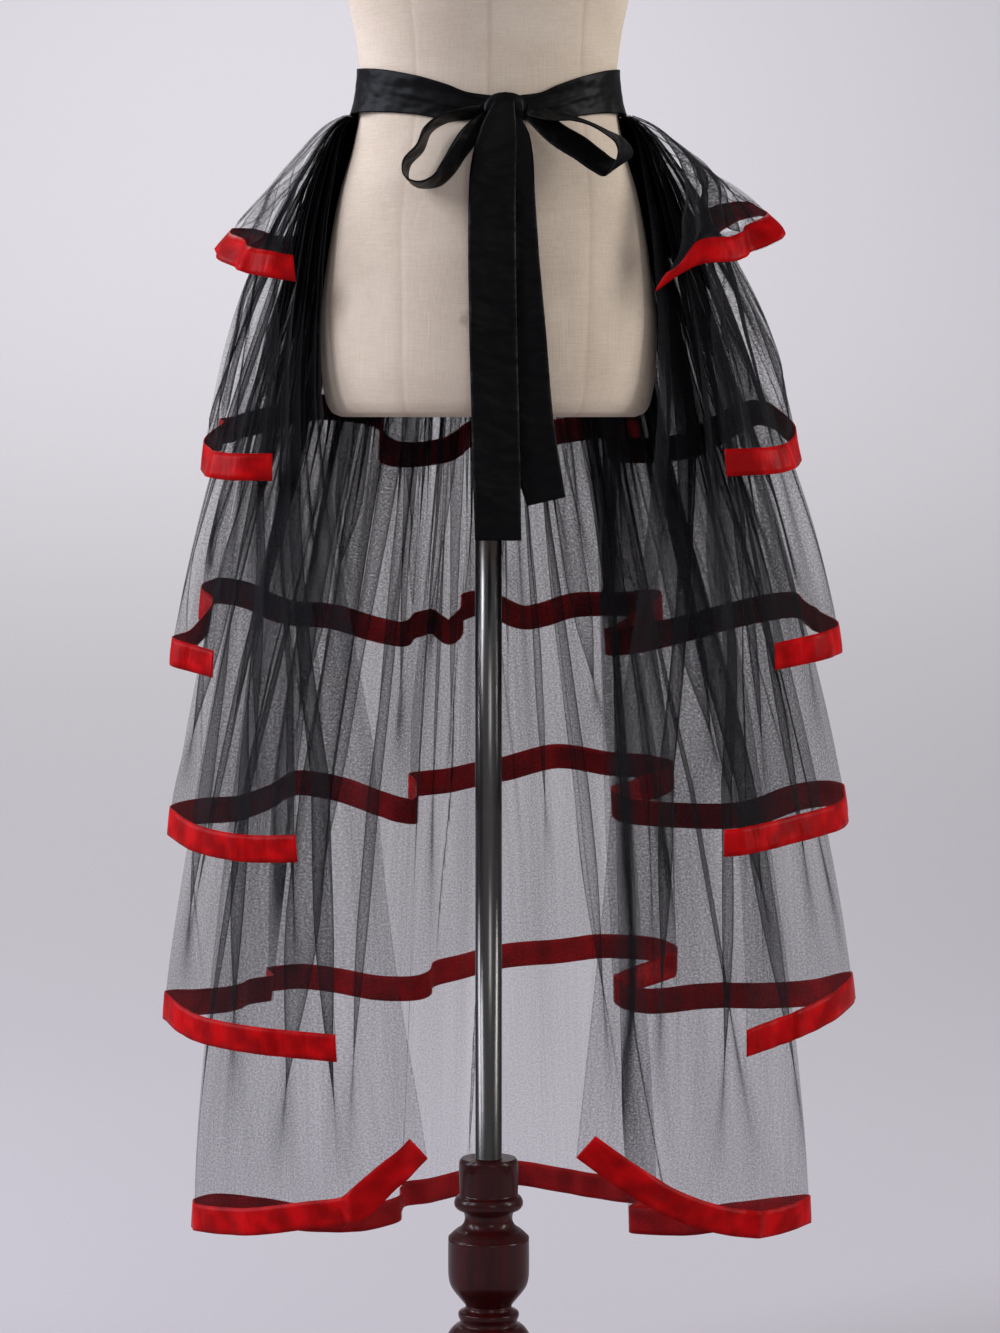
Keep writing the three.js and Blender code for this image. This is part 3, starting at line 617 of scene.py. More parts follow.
# The reach of every tier is kept on one grid of turns and drops, finer near the waist, and read between its
# places
REACH_TURNS = np.radians(np.arange(-75, 260.1, 0.25))
LOWEST_DROP = 1115
REACH_DROPS = LOWEST_DROP * np.linspace(0, 1, 280) ** 1.6


def read_reach(table, turn, z):
    """A table's value at turns and heights: straight shares of the four grid places round each."""
    column = (turn - REACH_TURNS[0]) / (REACH_TURNS[1] - REACH_TURNS[0])
    row = np.interp(SASH_FOOT - z, REACH_DROPS, np.arange(len(REACH_DROPS)))
    column = np.clip(column, 0, len(REACH_TURNS) - 1.001)
    row = np.minimum(row, len(REACH_DROPS) - 1.001)
    left, low = column.astype(int), row.astype(int)
    across, down = column - left, row - low
    upper = table[low, left] * (1 - across) + table[low, left + 1] * across
    lower = table[low + 1, left] * (1 - across) + table[low + 1, left + 1] * across
    return upper * (1 - down) + lower * down


def work_out_reaches():
    """How far each tier reaches, from the innermost outwards: from the waist ellipse to the hem line along a
    power curve with a small puff under the sash, and never nearer than what is under it, by a rounded
    maximum. Past a tier's free edges, what the next tier out has to clear eases to what that tier covers."""
    turn, z = np.meshgrid(REACH_TURNS, SASH_FOOT - REACH_DROPS)
    drop = SASH_FOOT - z
    cover = form_reach(turn, z) + FIRST_LAYER_OUT - LAYER_PITCH
    reaches = {}
    for tier in sorted(HEMS, reverse=True):
        spread, puff, _ = HEMS[tier]
        line = HEM_LINES[tier]
        share = np.minimum(1, drop / (SASH_FOOT - np.interp(-turn, -line["turn"], line["height"])))
        out = FIRST_LAYER_OUT + LAYER_PITCH * (len(HEMS) - tier)
        waist = ellipse_reach(turn, WAIST_HALF_WIDTH + out, WAIST_HALF_DEPTH + out)
        hem = np.interp(-turn, -line["turn"], line["reach"])
        bulge = puff * (1 - share) ** 2 * (1 - np.exp(-drop / PUFF_DROP))
        own = waist + (hem - waist) * (1 - (1 - share) ** spread) + bulge
        clear = tier_clearance(drop)
        sides = (-clear / own, 0, clear / own) if tier < len(HEMS) else (0,)
        least = np.maximum.reduce([read_reach(cover, turn + side, z) for side in sides])
        soft = np.minimum(SOFTNESS_AT_WAIST + drop * SOFTNESS_GROWTH, MOST_SOFTNESS)
        reaches[tier] = least + clear + soft * np.logaddexp(0, (own - least - clear) / soft)
        past_start = turn - edge_turn(tier, z, GATHER_START, 0)
        past_end = edge_turn(tier, z, GATHER_END, -1) - turn
        eased = smooth_step(np.maximum(past_start, past_end) / EDGE_EASE)
        cover = reaches[tier] + (cover - reaches[tier]) * eased
    return reaches


TIER_REACHES = work_out_reaches()


def tier_points(tier, s, t):
    """Points of a tier for two shares: s along the hem's length and t from the gathered edge down to the hem.
    The turn moves from even gathers at the waist to the hem's own turn, and the reach follows."""
    line = HEM_LINES[tier]
    run = s * line["run"][-1]
    foot = np.interp(run, line["run"], line["turn"])
    travel = np.interp(t, *zip(*EDGE_TRAVEL))
    turn = (GATHER_START + (GATHER_END - GATHER_START) * s) * (1 - travel) + foot * travel
    height = np.interp(run, line["run"], line["height"])
    z = (SASH_FOOT - TOP_GAP) * (1 - t) + height * t
    reach = read_reach(TIER_REACHES[tier], turn, z)
    return np.stack([reach * np.cos(turn), reach * np.sin(turn), z], axis=-1)


SLOPE_SPAN = 30             # stretch of hem over which its slope is taken, in millimetres
NEAR_HEM = 0.92             # share of the drop from which the net's slant at the hem is taken


def ribbon_place(tier, s, k):
    """Where the hem ribbon lies on its tier: the shares s and t of a point that is k of the ribbon's width
    away from the hem at s, measured on the cloth and square to the hem's own slope."""
    line = HEM_LINES[tier]
    run = line["run"][-1]
    before, after = np.maximum(s * run - SLOPE_SPAN / 2, 0), np.minimum(s * run + SLOPE_SPAN / 2, run)
    rise = np.interp(after, line["run"], line["height"]) - np.interp(before, line["run"], line["height"])
    slope = np.arctan2(rise, after - before)
    near = tier_points(tier, s, np.full_like(s, NEAR_HEM)) - tier_points(tier, s, np.ones_like(s))
    slant = np.linalg.norm(near, axis=-1) / near[..., 2]
    shear = -k * HEM_RIBBON * np.sin(slope) / run
    room = np.where(shear > 0, 1 - s, s) * run / HEM_RIBBON
    side = s + shear * np.minimum(room, 1)
    up = np.interp(s * run, line["run"], line["height"]) + k * HEM_RIBBON * np.cos(slope) / slant
    hem = np.interp(side * run, line["run"], line["height"])
    top = SASH_FOOT - TOP_GAP
    return side, (top - up) / (top - hem)


# Main folds placed on each tier: where the fold starts at the waist and ends at the hem, as shares
# of the cloth's width, its half width in millimetres, how far it laps and, unless it runs the whole drop, the
# shares of the drop where it starts and dies away.
MAIN_FOLDS = {
    1: [(0.06, 0.05, 17, 2.3), (0.15, 0.12, 9, 2.0, 0, 0.9), (0.24, 0.27, 20, 2.2),
        (0.38, 0.36, 13, 2.0, 0, 0.9), (0.50, 0.53, 19, 2.3), (0.64, 0.62, 12, 2.0, 0, 0.9),
        (0.74, 0.77, 20, 2.3), (0.86, 0.84, 10, 2.1, 0, 0.9), (0.94, 0.95, 16, 2.3)],
    2: [(0.04, 0.07, 15, 2.4), (0.12, 0.11, 9, 2.1, 0, 0.9), (0.20, 0.23, 21, 2.6),
        (0.34, 0.31, 12, 2.1, 0, 0.9), (0.42, 0.45, 22, 2.5), (0.54, 0.52, 10, 2.1, 0, 0.9),
        (0.62, 0.65, 24, 2.6), (0.73, 0.71, 13, 2.2), (0.82, 0.85, 18, 2.5), (0.93, 0.91, 11, 2.3)],
    3: [(0.03, 0.04, 13, 2.3), (0.11, 0.14, 22, 2.6), (0.21, 0.19, 11, 2.1, 0.1, 0.95),
        (0.29, 0.31, 24, 2.5), (0.38, 0.37, 10, 2.1, 0, 0.95), (0.47, 0.49, 20, 2.4),
        (0.57, 0.56, 12, 2.1, 0.1, 0.95), (0.66, 0.68, 26, 2.7), (0.75, 0.73, 11, 2.2),
        (0.84, 0.86, 22, 2.6), (0.94, 0.92, 14, 2.4)],
    4: [(0.04, 0.03, 15, 2.3), (0.12, 0.14, 26, 2.7), (0.21, 0.19, 11, 2.1, 0.2, 1),
        (0.28, 0.30, 28, 2.7), (0.37, 0.385, 13, 2.2), (0.45, 0.435, 9, 2.1, 0, 0.9),
        (0.55, 0.57, 21, 2.4), (0.65, 0.635, 14, 2.3, 0.1, 1), (0.72, 0.745, 27, 2.7),
        (0.83, 0.81, 12, 2.2), (0.89, 0.91, 14, 2.4, 0, 0.9), (0.965, 0.97, 9, 2.2)],
    5: [(0.03, 0.025, 12, 2.2), (0.10, 0.12, 27, 2.7), (0.185, 0.17, 12, 2.2, 0.2, 1),
        (0.26, 0.285, 29, 2.7), (0.36, 0.34, 14, 2.3), (0.44, 0.455, 10, 2.2, 0, 0.85),
        (0.54, 0.53, 12, 2.2, 0.2, 0.95), (0.62, 0.645, 24, 2.6), (0.70, 0.69, 12, 2.2),
        (0.77, 0.80, 28, 2.7), (0.88, 0.865, 9, 2.2), (0.95, 0.94, 13, 2.4, 0, 0.95)],
    6: [(0.05, 0.06, 16, 2.4), (0.12, 0.14, 21, 2.5, 0, 0.95), (0.20, 0.19, 11, 2.2, 0.3, 1),
        (0.27, 0.29, 30, 2.8), (0.355, 0.345, 17, 2.4, 0.1, 1), (0.42, 0.435, 9, 2.1, 0, 0.8),
        (0.505, 0.49, 8, 2.1, 0.3, 1), (0.57, 0.585, 18, 2.4, 0, 0.95), (0.665, 0.655, 25, 2.7),
        (0.745, 0.76, 14, 2.3, 0.2, 1), (0.83, 0.81, 27, 2.7), (0.89, 0.905, 13, 2.2),
        (0.96, 0.95, 13, 2.4, 0, 0.95)],
}
# Bends of the hem itself, through ribbon and net: place along the hem as a share, half width and how far out
HEM_BENDS = {
    1: [(0.055, 5, 2.6), (0.075, 4, -2.0), (0.165, 5, 2.4), (0.30, 9, 2.0), (0.46, 8, 2.6), (0.60, 9, -2.2),
        (0.72, 7, 1.8), (0.865, 5, 3.0), (0.89, 5, -2.6), (0.95, 9, 1.6)],
    2: [(0.05, 10, 1.8), (0.15, 5, 2.8), (0.175, 5, -2.2), (0.30, 9, 2.4), (0.44, 8, -2.2), (0.53, 9, 2.2),
        (0.66, 6, 2.6), (0.78, 10, -2.0), (0.86, 7, 2.4), (0.95, 11, 1.6)],
    3: [(0.04, 9, 1.8), (0.125, 5, 3.0), (0.15, 6, -2.4), (0.24, 10, 2.2), (0.385, 6, 3.2), (0.41, 5, -3.0),
        (0.455, 4, 2.6), (0.55, 9, 2.0), (0.65, 6, 2.6), (0.76, 10, -2.0), (0.88, 7, 2.4), (0.96, 8, 1.8)],
    4: [(0.05, 12, 1.6), (0.12, 6, 2.6), (0.22, 9, -2.2), (0.31, 8, 2.4), (0.40, 6, 3.2), (0.425, 5, -2.8),
        (0.53, 10, 2.0), (0.625, 6, 3.0), (0.66, 5, -2.4), (0.77, 10, 2.0), (0.86, 7, 2.4), (0.95, 9, -1.8)],
    5: [(0.06, 12, 1.8), (0.15, 6, 2.6), (0.26, 7, 2.6), (0.36, 10, -2.2), (0.44, 8, 2.0), (0.56, 10, 2.0),
        (0.645, 6, 3.0), (0.67, 5, -2.6), (0.75, 6, 2.8), (0.87, 8, 2.2), (0.955, 5, 2.8), (0.975, 5, -2.2)],
    6: [(0.02, 8, 1.6), (0.05, 5, 3.0), (0.13, 9, 2.2), (0.19, 6, -2.4), (0.28, 9, 2.4), (0.40, 6, 3.0),
        (0.47, 8, -2.0), (0.57, 9, 2.2), (0.655, 6, 3.0), (0.73, 9, 2.0), (0.80, 6, 2.8), (0.88, 5, -2.8),
        (0.955, 7, 2.2)],
}
# Sways of the lower net and its hem, where a wide fold turns back on itself: place along the hem as a share,
# half width, and how far across and back it stands from the tier's own surface
SWAYS = {
    1: [(0.07, 7, 5, -3), (0.085, 6, -4, 3), (0.872, 8, 8, -6), (0.9, 7, -6, 4)],
    2: [(0.16, 9, -7, 4), (0.325, 20, 30, 4), (0.375, 16, -14, -4), (0.635, 9, 6, 3), (0.67, 20, -27, 2)],
    3: [(0.13, 9, -8, 0), (0.395, 8, 6, -4), (0.455, 7, -7, 3), (0.635, 14, 10, 4), (0.68, 22, -38, 0)],
    4: [(0.395, 10, 9, -3), (0.432, 12, -22, 4), (0.635, 14, 11, 4), (0.675, 22, -33, 0)],
    5: [(0.28, 9, 9, -4), (0.305, 9, -10, 5), (0.445, 10, -8, 3), (0.64, 14, 12, 4), (0.675, 20, -24, 0),
        (0.955, 6, -5, -3)],
    6: [(0.05, 7, -4, -3), (0.39, 12, 12, -6), (0.42, 10, -9, 4), (0.635, 10, 8, 3), (0.66, 14, -16, 0),
        (0.875, 7, 6, -4)],
}
GATHERS = {1: 34, 2: 34, 3: 36, 4: 37, 5: 38, 6: 38}
TIER_ROWS = {1: 30, 2: 40, 3: 50, 4: 56, 5: 62, 6: 72}
NET_COLUMN = 1.75           # cloth between two columns of the net, in millimetres
ROW_GROWTH = 1.15           # rows lie closer together near the waist
LAP_OF_FULLNESS = 1.55
LAP_WANDER = 0.35
GATHERS_OPEN = (160, 520)   # drop over which the small gathers open out, in millimetres
GATHERS_LOSE = 0.88         # share of their lap that they have lost by then
SMALL_LAP = 1.25            # the lap that the gathers keep where the cloth has no fullness to ask for one
SMALL_LAP_WANDER = 0.95
LEAST_SMALL_LAP = 0.2
SMALL_LAP_LOSES = 0.97
CALM_EDGE = 0.015           # share of the width beside each free edge in which the folds die away
CALM_ABOVE_RIBBON = 60      # the same above the ribbon, in millimetres
LEFT_AT_RIBBON = 0.05       # what is left of them there
GATHER_DEPTH = 0.5          # how far in and out the gathers go at the waist, in millimetres
DEPTH_GROWTH = 0.02
MOST_DEPTH = 2.6
FULL_LAP = 1.5              # a gather that laps less goes in and out less
FOLD_DEPTH = 1.1
WIDE_FOLD = 8               # half width from which a fold has its full depth, in millimetres
FOLD_GROWS = 0.1            # shares of the drop over which a fold grows and dies away
FOLD_DIES = 0.3
FINE_CREASES = 14
# What is drawn for each fine crease: its place in its own share of the cloth, the rest as for the main folds
CREASE_PLACE = (0.15, 0.85)
CREASE_START = (0.05, 0.5)
CREASE_SHIFT = (-0.07, 0.07)
CREASE_HALF_WIDTH = (1.9, 3.6)
CREASE_LAP = (2.0, 2.8)
CREASE_LENGTH = (0.4, 0.75)
BENDS_FROM = 0.8            # share of the drop where the hem's bends start, and over which they grow
BENDS_GROW = 0.18
SWAYS_FROM = 0.3
SWAYS_GROW = 0.6
EDGE_SOFTNESS = 0.16        # how sharply the threads crowd together in a fold's edge
MOST_CROWDED = 7
FREE_EDGE_CROWDING = 2.5    # the net's own cut edge
# Folds too small to draw still close the net: how many more layers there are, by the place across the cloth.
# The two front sides carry most of the gathers.
UNDRAWN_LAYERS = [(0, 1.6), (0.05, 2.7), (0.2, 2.4), (0.32, 1.1), (0.42, 0.4), (0.56, 0.5), (0.63, 1.3),
                  (0.76, 2.0), (0.93, 1.7), (1, 1.4)]
UNDRAWN_AT_WAIST = [(0, 1.5), (0.3, 1.4), (0.42, 0.3), (0.56, 0.5), (0.7, 4.2), (1, 9.5)]
UNDRAWN_REACH = 210         # drop over which the extra layers at the waist thin out, in millimetres
UNDRAWN_LOST = 0.85         # share of the others that has opened out at the hem
UNDRAWN_TOP_TIER = [(0, 0.5), (0.08, 0.15), (0.8, 0.15), (0.87, 1.2), (0.95, 6.0), (1, 12.0)]


def creases_of(tier):
    """A tier's folds: the main ones listed and some fine creases, drawn once, that run a little
    askew."""
    draw = np.random.default_rng(300 + tier)
    folds = [fold if len(fold) > 4 else (*fold, 0, 1) for fold in MAIN_FOLDS[tier]]
    for at in (np.arange(FINE_CREASES) + draw.uniform(*CREASE_PLACE, FINE_CREASES)) / FINE_CREASES:
        start = draw.uniform(*CREASE_START)
        foot = at + draw.uniform(*CREASE_SHIFT)
        half = draw.uniform(*CREASE_HALF_WIDTH)
        lap = draw.uniform(*CREASE_LAP)
        folds.append((at, foot, half, lap, start, start + draw.uniform(*CREASE_LENGTH)))
    return folds


def bend_out(tier, s, t):
    """How far the bends of the hem stand out, in millimetres: bell curves along the hem that rise near it."""
    run = HEM_LINES[tier]["run"][-1]
    out = sum(far * np.exp(-((s - place) * run / half) ** 2 / 2) for place, half, far in HEM_BENDS[tier])
    return out * smooth_step((t - BENDS_FROM) / BENDS_GROW)


def sway_of(tier, s, t):
    """The sways as vectors: bell curves along the hem that grow from the middle of the drop down to it."""
    run = HEM_LINES[tier]["run"][-1]
    grown = smooth_step((t - SWAYS_FROM) / SWAYS_GROW)
    across, back = (
        sum(sway[way] * np.exp(-((s - sway[0]) * run / sway[1]) ** 2 / 2) for sway in SWAYS[tier])
        for way in (2, 3)
    )
    return np.stack([across * grown, back * grown, 0 * grown], axis=-1)


def make_tier(tier):
    """The net lies on the tier's own surface, shifted to and fro along it and in and out of it in lapping
    folds. The shift is a sine along the cloth, as deep as the cloth's fullness at that height asks, with a
    wandering phase, plus the folds, each the slope of a bell curve. Folds die away at the hem ribbon. Where
    the shift crowds the threads together, the net is told how many times denser it shows."""
    gathers = GATHERS[tier]
    run = HEM_LINES[tier]["run"][-1]
    s = np.linspace(0, 1, round(run / NET_COLUMN) + 1)[None, :]
    end = ribbon_place(tier, s, 1)[1]
    rows = TIER_ROWS[tier]
    above = end * (np.arange(rows)[:, None] / rows) ** ROW_GROWTH
    t = np.concatenate([above, end, (end + 1) / 2, np.ones_like(end)])
    s = np.broadcast_to(s, t.shape)
    plain = tier_points(tier, s, t)
    drop = SASH_FOOT - plain[..., 2]
    length = np.linalg.norm(np.diff(plain, axis=1), axis=2).sum(axis=1)[:, None]
    fullness = np.maximum(length[-1] / length, 1.0)
    opened = smooth_step((drop - GATHERS_OPEN[0]) / (GATHERS_OPEN[1] - GATHERS_OPEN[0]))
    phase = 2 * np.pi * gathers * s + 2.6 * wander(s, tier, 9) + 1.5 * t * wander(s * 1.3, tier + 20, 6)
    small = np.maximum(SMALL_LAP + SMALL_LAP_WANDER * wander(s * 4.0, tier + 40, 9), LEAST_SMALL_LAP)
    lap = LAP_OF_FULLNESS * np.sqrt(fullness ** 2 - 1) * (1 + LAP_WANDER * wander(s * 5.0, tier + 60, 9))
    lap = np.maximum(lap * (1 - GATHERS_LOSE * opened), small * (1 - SMALL_LAP_LOSES * opened))
    free = smooth_step(np.minimum(s, 1 - s) / CALM_EDGE)
    free = free * smooth_step((end - t) * length[-1] / CALM_ABOVE_RIBBON + LEFT_AT_RIBBON)
    shift = lap * np.sin(phase) / (2 * np.pi * gathers)
    depth = np.minimum(GATHER_DEPTH + DEPTH_GROWTH * drop, MOST_DEPTH)
    rise = -depth * np.sin(phase) * np.minimum(lap / FULL_LAP, 1)
    for top, foot, half, strength, start, stop in creases_of(tier):
        width = half / run
        at = (s - top - (foot - top) * t) / width
        hold = smooth_step((t - start) / FOLD_GROWS + 1) * smooth_step((stop - t) / FOLD_DIES)
        bell = np.exp(-at * at / 2)
        shift = shift - strength * hold * width * at * bell
        rise = rise + FOLD_DEPTH * depth * hold * at * bell * min(half / WIDE_FOLD, 1)
    placed = np.clip(s + shift * free, 0, 1)
    points = tier_points(tier, placed, t)
    points = points + grid_normals(plain) * (rise * free + bend_out(tier, s, t))[..., None]
    points = points + sway_of(tier, s, t)
    pace = np.gradient(placed, axis=1) / np.gradient(s, axis=1)
    if tier == 1:
        undrawn = read(UNDRAWN_TOP_TIER, placed, 1)
    else:
        undrawn = read(UNDRAWN_LAYERS, placed, 1) * (1 - UNDRAWN_LOST * t)
        undrawn = undrawn + read(UNDRAWN_AT_WAIST, placed, 1) * np.exp(-drop / UNDRAWN_REACH)
    crowd = np.minimum(fullness / np.hypot(pace, EDGE_SOFTNESS), MOST_CROWDED) * (1 + undrawn)
    crowd[:, [0, -1]] = np.maximum(crowd[:, [0, -1]], FREE_EDGE_CROWDING)
    cloth = np.stack([s * run * MM, drop * MM], axis=-1)
    net = grid_piece(f"tulle_{tier}", points, [TULLE], cloth=cloth, marks={"crowding": crowd})
    settle(net, "tulle", f"tulle_tier_{tier}")
    return net, plain


RIBBON_COLUMN = 2.2         # ribbon between two columns of its mesh, in millimetres
RIBBON_ROWS = 6
PUCKER_DEPTH = 0.5
PUCKER_REPEAT = 230         # ribbon over which the puckers wander once, in millimetres
PUCKER_LOST = 0.6           # share of a pucker that is flattened at the ribbon's upper edge


def make_hem(tier):
    """The satin ribbon, sewn flat on the outside of the hem: the tier's surface from the hem to the ribbon's
    other edge, square to the hem and moved out, with the hem's bends and small puckers along it."""
    run = HEM_LINES[tier]["run"][-1]
    columns = np.linspace(0, 1, round(run / RIBBON_COLUMN) + 1)
    s, k = np.broadcast_arrays(columns[None, :], np.linspace(1, 0, RIBBON_ROWS)[:, None])
    side, t = ribbon_place(tier, s, k)
    plain = tier_points(tier, side, t)
    out = grid_normals(plain)
    base = plain + out * bend_out(tier, side, t)[..., None] + sway_of(tier, side, t)
    pucker = PUCKER_DEPTH * wander(s * run / PUCKER_REPEAT, tier + 80, 12) * (1 - PUCKER_LOST * k)
    points = base + grid_normals(base) * (RIBBON_OUT + pucker)[..., None]
    cloth = np.stack([s * run * MM, (1 - k) * HEM_RIBBON * MM], axis=-1)
    ribbon = grid_piece(f"ribbon_{tier}", points, RIBBON, cloth=cloth)
    wall = add_wall(ribbon, RIBBON_WALL, inner_finish=1)
    wall.use_even_offset = False
    return settle(ribbon, "red_satin", f"hem_ribbon_{tier}")


def cloth_size(piece):
    """Area of a piece's own mesh in square metres."""
    sizes = np.empty(len(piece.data.polygons), dtype=np.float32)
    piece.data.polygons.foreach_get("area", sizes)
    return float(sizes.sum())


make_form()
make_stand()
for tier in HEMS:
    net, plain = make_tier(tier)
    hem = make_hem(tier)
    drop = float(np.linalg.norm(np.diff(plain, axis=0), axis=2).sum(axis=0).mean()) * MM
    width = HEM_LINES[tier]["run"][-1] * MM
    round(cloth_size(net) / drop, 2)


# Sash round the waist, by the turn away from the knot: top, lower edge, reach out and how far the lower edge
# flares over the gathers
SASH_SHAPE = [
    (0, 1260, 1240, 1.2, 0), (15, 1264, 1239.5, 1.0, 0), (25, 1272, 1240.5, 0.6, 0),
    (40, 1281, 1245.5, 0.3, 0), (60, 1288, 1249, 0, 1), (76, 1290.5, 1250, 0, 5.5),
    (95, 1292, 1250, 0, 6.5), (180, 1292, 1250, 0, 6.5),
]
# Long creases of the sash: depth, rows of them from edge to edge, how they lean and where they start
SASH_CREASES = [(0.35, 1.6, 0.35, 0.4), (0.22, 2.7, -0.5, 1.9), (0.15, 4.2, 0.8, 3.1)]
CREASES_FROM_KNOT = 55      # turn from the knot over which the creases grow shallower, in degrees
CREASES_ELSEWHERE = 0.25
SASH_STANDOFF = 1.4
SASH_WALL = 1.2
SASH_CUT = 42               # width of the cut cloth
SASH_PER_DEGREE = 1.8       # cloth for each degree round the waist
SASH_COLUMNS = 288
SASH_ROWS = 29
KNOT_SIDE = 7               # the knot sits this many degrees to the right of the middle


def make_sash():
    """The band: an ellipse a little outside the form at each height, drawn in and turned towards the knot,
    with long soft creases that close up towards it."""
    turns = np.arange(SASH_COLUMNS)[None, :] * 360 / SASH_COLUMNS
    share, from_knot = np.broadcast_arrays(np.linspace(1, 0, SASH_ROWS)[:, None], turns)
    away = np.minimum(from_knot, 360 - from_knot)
    top, foot, reach, flare = (smooth_read(SASH_SHAPE, away, k) for k in range(1, 5))
    z = top + (foot - top) * share
    turn = np.radians(-90 + from_knot) + math.radians(KNOT_SIDE) * np.cos(np.radians(away) / 2) ** 2
    crease = sum(
        size * np.sin(2 * np.pi * (rows * share + lean * np.radians(away)) + start)
        for size, rows, lean, start in SASH_CREASES
    )
    close = np.exp(-away / CREASES_FROM_KNOT) + CREASES_ELSEWHERE
    out = SASH_STANDOFF + reach + flare * share ** 2 + crease * close * np.sin(np.pi * share)
    half = np.maximum(read(FORM_SECTIONS, z, 1), WAIST_HALF_WIDTH) + out
    front = np.maximum(read(FORM_SECTIONS, z, 2), WAIST_HALF_DEPTH) + out
    back = np.maximum(read(FORM_SECTIONS, z, 3), WAIST_HALF_DEPTH) + out
    depth = np.where(np.sin(turn) < 0, front, back)
    points = np.stack([half * np.cos(turn), depth * np.sin(turn), z], axis=-1)
    cloth = np.stack([away * SASH_PER_DEGREE * MM, (1 - share) * SASH_CUT * MM], axis=-1)
    band = grid_piece("sash_band_wrapped", points, [SATIN], around=True, cloth=cloth)
    add_wall(band, SASH_WALL)
    return settle(band, "black_satin", "sash_band")


# Tails and loops: name, steps along and across, and the stops of the middle line: across, back, height,
# width, and the angles in degrees by which the width leans and faces
STRIPS = {
    "tail_front": ("sash_tail_front", 60, 12, [
        (15, -96.5, 1258, 16, 0, 0), (9.5, -101, 1233, 31, 0, 0), (5.5, -105, 1204, 40, 0, 0),
        (4, -107, 1184, 42, 0, 0), (3.5, -110.5, 1130, 43, 0, 0), (4.5, -114.5, 1050, 43, 0, 0),
        (7, -116, 950, 43, 0, 0), (9, -116.5, 861, 42, 0, 0),
    ]),
    "tail_back": ("sash_tail_back", 56, 12, [
        (20, -96.4, 1243, 16, 0, 0), (24, -98.5, 1226, 26, 0, -2), (21.5, -102.5, 1190, 40, 0, -3),
        (24, -106.5, 1130, 42, 0, -4), (31, -110.5, 1050, 42, 1, -5), (39, -111.5, 960, 42, 5, -5),
        (46, -111.5, 922, 40, 10, -7), (52.5, -111.5, 896, 36, 13, -8),
    ]),
    "loop_left": ("bow_loop_left", 96, 10, [
        (-3.4, -92.2, 1247, 12, -70, 20), (-22, -98.5, 1243.5, 18, -60, 55), (-40, -103, 1239, 25, -45, 72),
        (-54, -105, 1229, 30, -37, 78), (-61, -107, 1213, 32, -37, 78), (-73, -109, 1199, 32, -37, 78),
        (-73, -110, 1186, 32, -40, 80), (-63, -110, 1180, 32, -50, 80), (-47, -109, 1183, 33, -50, 74),
        (-36, -107, 1195, 33, -40, 66), (-26, -104, 1211, 32, -37, 62), (-15, -98.5, 1226, 24, -37, 45),
        (1, -95, 1240, 16, -50, 10),
    ]),
    "loop_right": ("bow_loop_right", 96, 10, [
        (34.1, -91.6, 1249, 12, 80, 20), (58, -98.5, 1242, 18, 60, 55), (78, -102, 1239, 22, 60, 76),
        (93, -104, 1234, 25, 60, 80), (106, -106, 1227, 27, 55, 78), (118, -108, 1219, 29, 30, 70),
        (123, -109, 1209, 30, 10, 62), (119, -109, 1199, 30, 30, 58), (109, -108, 1195, 30, 55, 50),
        (97, -107, 1202, 30, 60, 45), (82, -105, 1213, 30, 60, 42), (64, -102, 1224, 28, 60, 40),
        (37, -93.8, 1246, 14, 60, 10),
    ]),
}


STRIP_BEND = 0.5            # how far the creases of the tails and loops stand out, in millimetres


def make_strip(node):
    """A strip of satin along a smooth line: its width is laid out each way from the line in the direction
    that lean and face give, and it bends gently across with creases that run along it."""
    name, steps, across, stops = STRIPS[node]
    middle = smooth_path(stops, steps)[:, None, :]
    share = np.linspace(0, len(stops) - 1, steps + 1)
    rows = [(k, *stop[3:]) for k, stop in enumerate(stops)]
    width, lean, face = (smooth_read(rows, share, k)[:, None] for k in (1, 2, 3))
    lean, face = np.radians(lean), np.radians(face)
    wide = np.stack([np.cos(lean) * np.cos(face), np.sin(face), np.sin(lean) * np.cos(face)], axis=-1)
    k = np.linspace(-0.5, 0.5, across + 1)[None, :]
    points = middle + wide * (width * k)[..., None]
    long = share[:, None] / (len(stops) - 1)
    seed = sum(map(ord, node))
    bend = STRIP_BEND * wander(long * 2.2 + k * 0.25, seed, 6) * np.sin(np.pi * (k + 0.5)) ** 0.5
    bend = bend * smooth_step(long * 8)
    points = points + grid_normals(points) * bend[..., None]
    run = np.linalg.norm(np.diff(middle[:, 0], axis=0), axis=1).cumsum()
    run = np.concatenate([[0], run])[:, None]
    cloth = np.stack([(width * k) * MM + 0 * run, run * MM + 0 * k], axis=-1)
    strip = grid_piece(name, points, [SATIN], cloth=cloth)
    add_wall(strip, SASH_WALL)
    settle(strip, "black_satin", node)
    return strip, float(run[-1, 0]), float(width.max())


KNOT_CENTRE = (15.5, -91.65, 1250)
KNOT_HALF = (19, 4.4, 14)


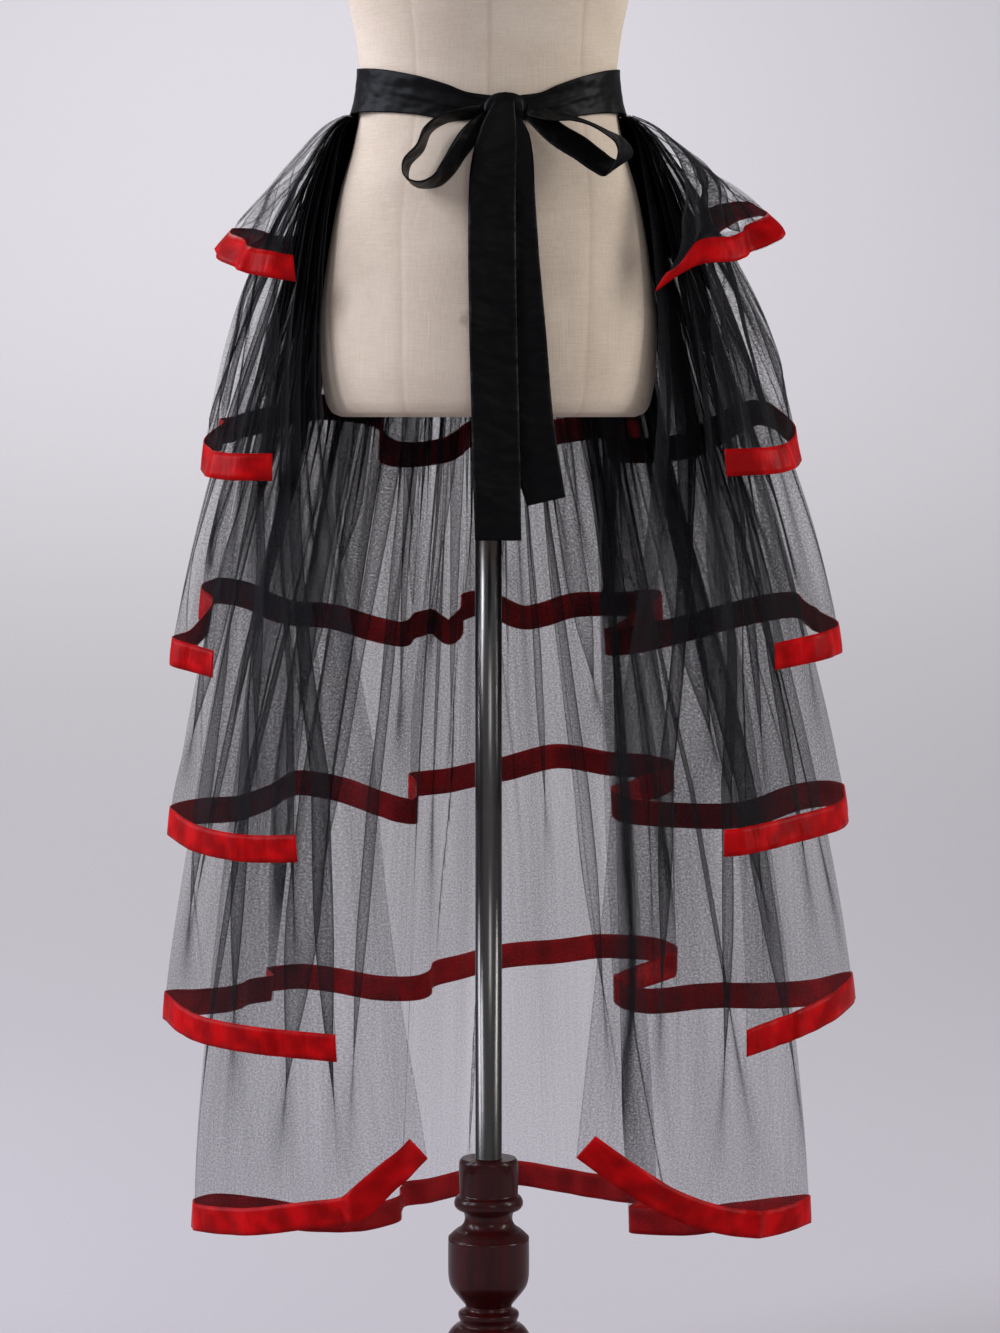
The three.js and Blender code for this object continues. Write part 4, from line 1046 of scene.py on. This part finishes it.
def make_knot():
    """The knot: a pillow whose radius follows a rounded profile from foot to top, with wraps across it."""
    share = np.linspace(-1, 1, 41)[:, None]
    turn = np.arange(72)[None, :] * 2 * np.pi / 72
    wide = np.sqrt(np.maximum(0.0, 1 - np.abs(share) ** 2.4)) * 0.98 + 0.004
    fold = 0.045 * np.sin(5 * turn + 2.2 * share) + 0.03 * np.sin(9 * turn - 1.4 * share + 1)
    around = wide * (1 + fold * (1 - share ** 2))
    pillow = np.stack([around * np.cos(turn), around * np.sin(turn), share + 0 * turn], axis=-1)
    points = KNOT_CENTRE + KNOT_HALF * pillow
    cloth = np.stack([turn * KNOT_HALF[0] * MM + 0 * share, share * KNOT_HALF[2] * MM + 0 * turn], axis=-1)
    knot = grid_piece("bow_knot_wrapped", points, [SATIN], around=True, cloth=cloth)
    return settle(knot, "black_satin", "bow_knot")


make_sash()
make_knot()
for node in STRIPS:
    strip, run, wide = make_strip(node)


# Studio: pale paper floor that curves up behind, soft lights
PAPER_REACH = 9000          # the floor's half width and its reach to the front
COVE_START = 1500
COVE_DEPTH = 12500
COVE_HEIGHT = 3400
WALL_TOP = 9000
FLOOR_GAP = 0.2             # the paper lies this far below the base


def make_studio():
    """Floor and backdrop: a flat floor, a quarter of an ellipse and a wall, carried straight across."""
    bend = np.linspace(0, np.pi / 2, 33)
    y = np.concatenate([[-PAPER_REACH, 0], COVE_START + COVE_DEPTH * np.sin(bend), [COVE_START + COVE_DEPTH]])
    z = np.concatenate([[0, 0], COVE_HEIGHT * (1 - np.cos(bend)), [WALL_TOP]]) - FLOOR_GAP
    x = np.array([-1.0, 1.0]) * PAPER_REACH
    points = np.stack(np.broadcast_arrays(x[None, :], y[:, None], z[:, None]), axis=-1)
    grid_piece("studio_floor_and_wall", points, [studio_paper()])


def add_light(name, place, target, size, power, tint="#ffffff"):
    """A soft rectangular light at a place, turned to face its target."""
    lamp = bpy.data.lights.new(name, "AREA")
    lamp.shape = "RECTANGLE"
    lamp.size, lamp.size_y = size
    lamp.energy = power
    lamp.color = linear(tint)[:3]
    held = bpy.data.objects.new(name, lamp)
    held.location = place
    back = np.array(place, dtype=float) - np.array(target, dtype=float)
    yaw = math.atan2(back[1], back[0])
    tip = math.acos(back[2] / np.linalg.norm(back))
    held.rotation_euler = (tip, 0, yaw + math.pi / 2)
    bpy.context.collection.objects.link(held)


make_studio()
add_light("key_softbox", (-2.8, -1.3, 2.8), (0, 0, 1.0), (1.0, 1.8), 82, "#f0f3ff")
add_light("left_strip", (-3.2, 0.2, 2.1), (0, 0.1, 1.0), (0.9, 2.0), 84, "#e9edff")
add_light("right_strip", (3.2, -0.6, 2.2), (0, 0.1, 1.0), (0.9, 2.0), 76)
add_light("front_fill", (1.2, -4.6, 2.4), (0, 0, 0.9), (1.6, 1.6), 20)
add_light("floor_wash", (-1.6, 3.4, 4.4), (-0.6, 3.8, 0.2), (1.6, 1.6), 50)
add_light("wall_wash", (-1.4, 8.8, 8.5), (-0.4, 11.4, 1.0), (3.0, 3.0), 440)
world = bpy.data.worlds.new("studio_air")
world.use_nodes = True
world.node_tree.nodes["Background"].inputs["Color"].default_value = linear("#dedde3")
world.node_tree.nodes["Background"].inputs["Strength"].default_value = 0.32
bpy.context.scene.world = world
bpy.context.scene.view_settings.view_transform = "Standard"
# A ray meets up to 40 layers of folded net, far more than the renderer lets through by itself
bpy.context.scene.cycles.transparent_max_bounces = 48
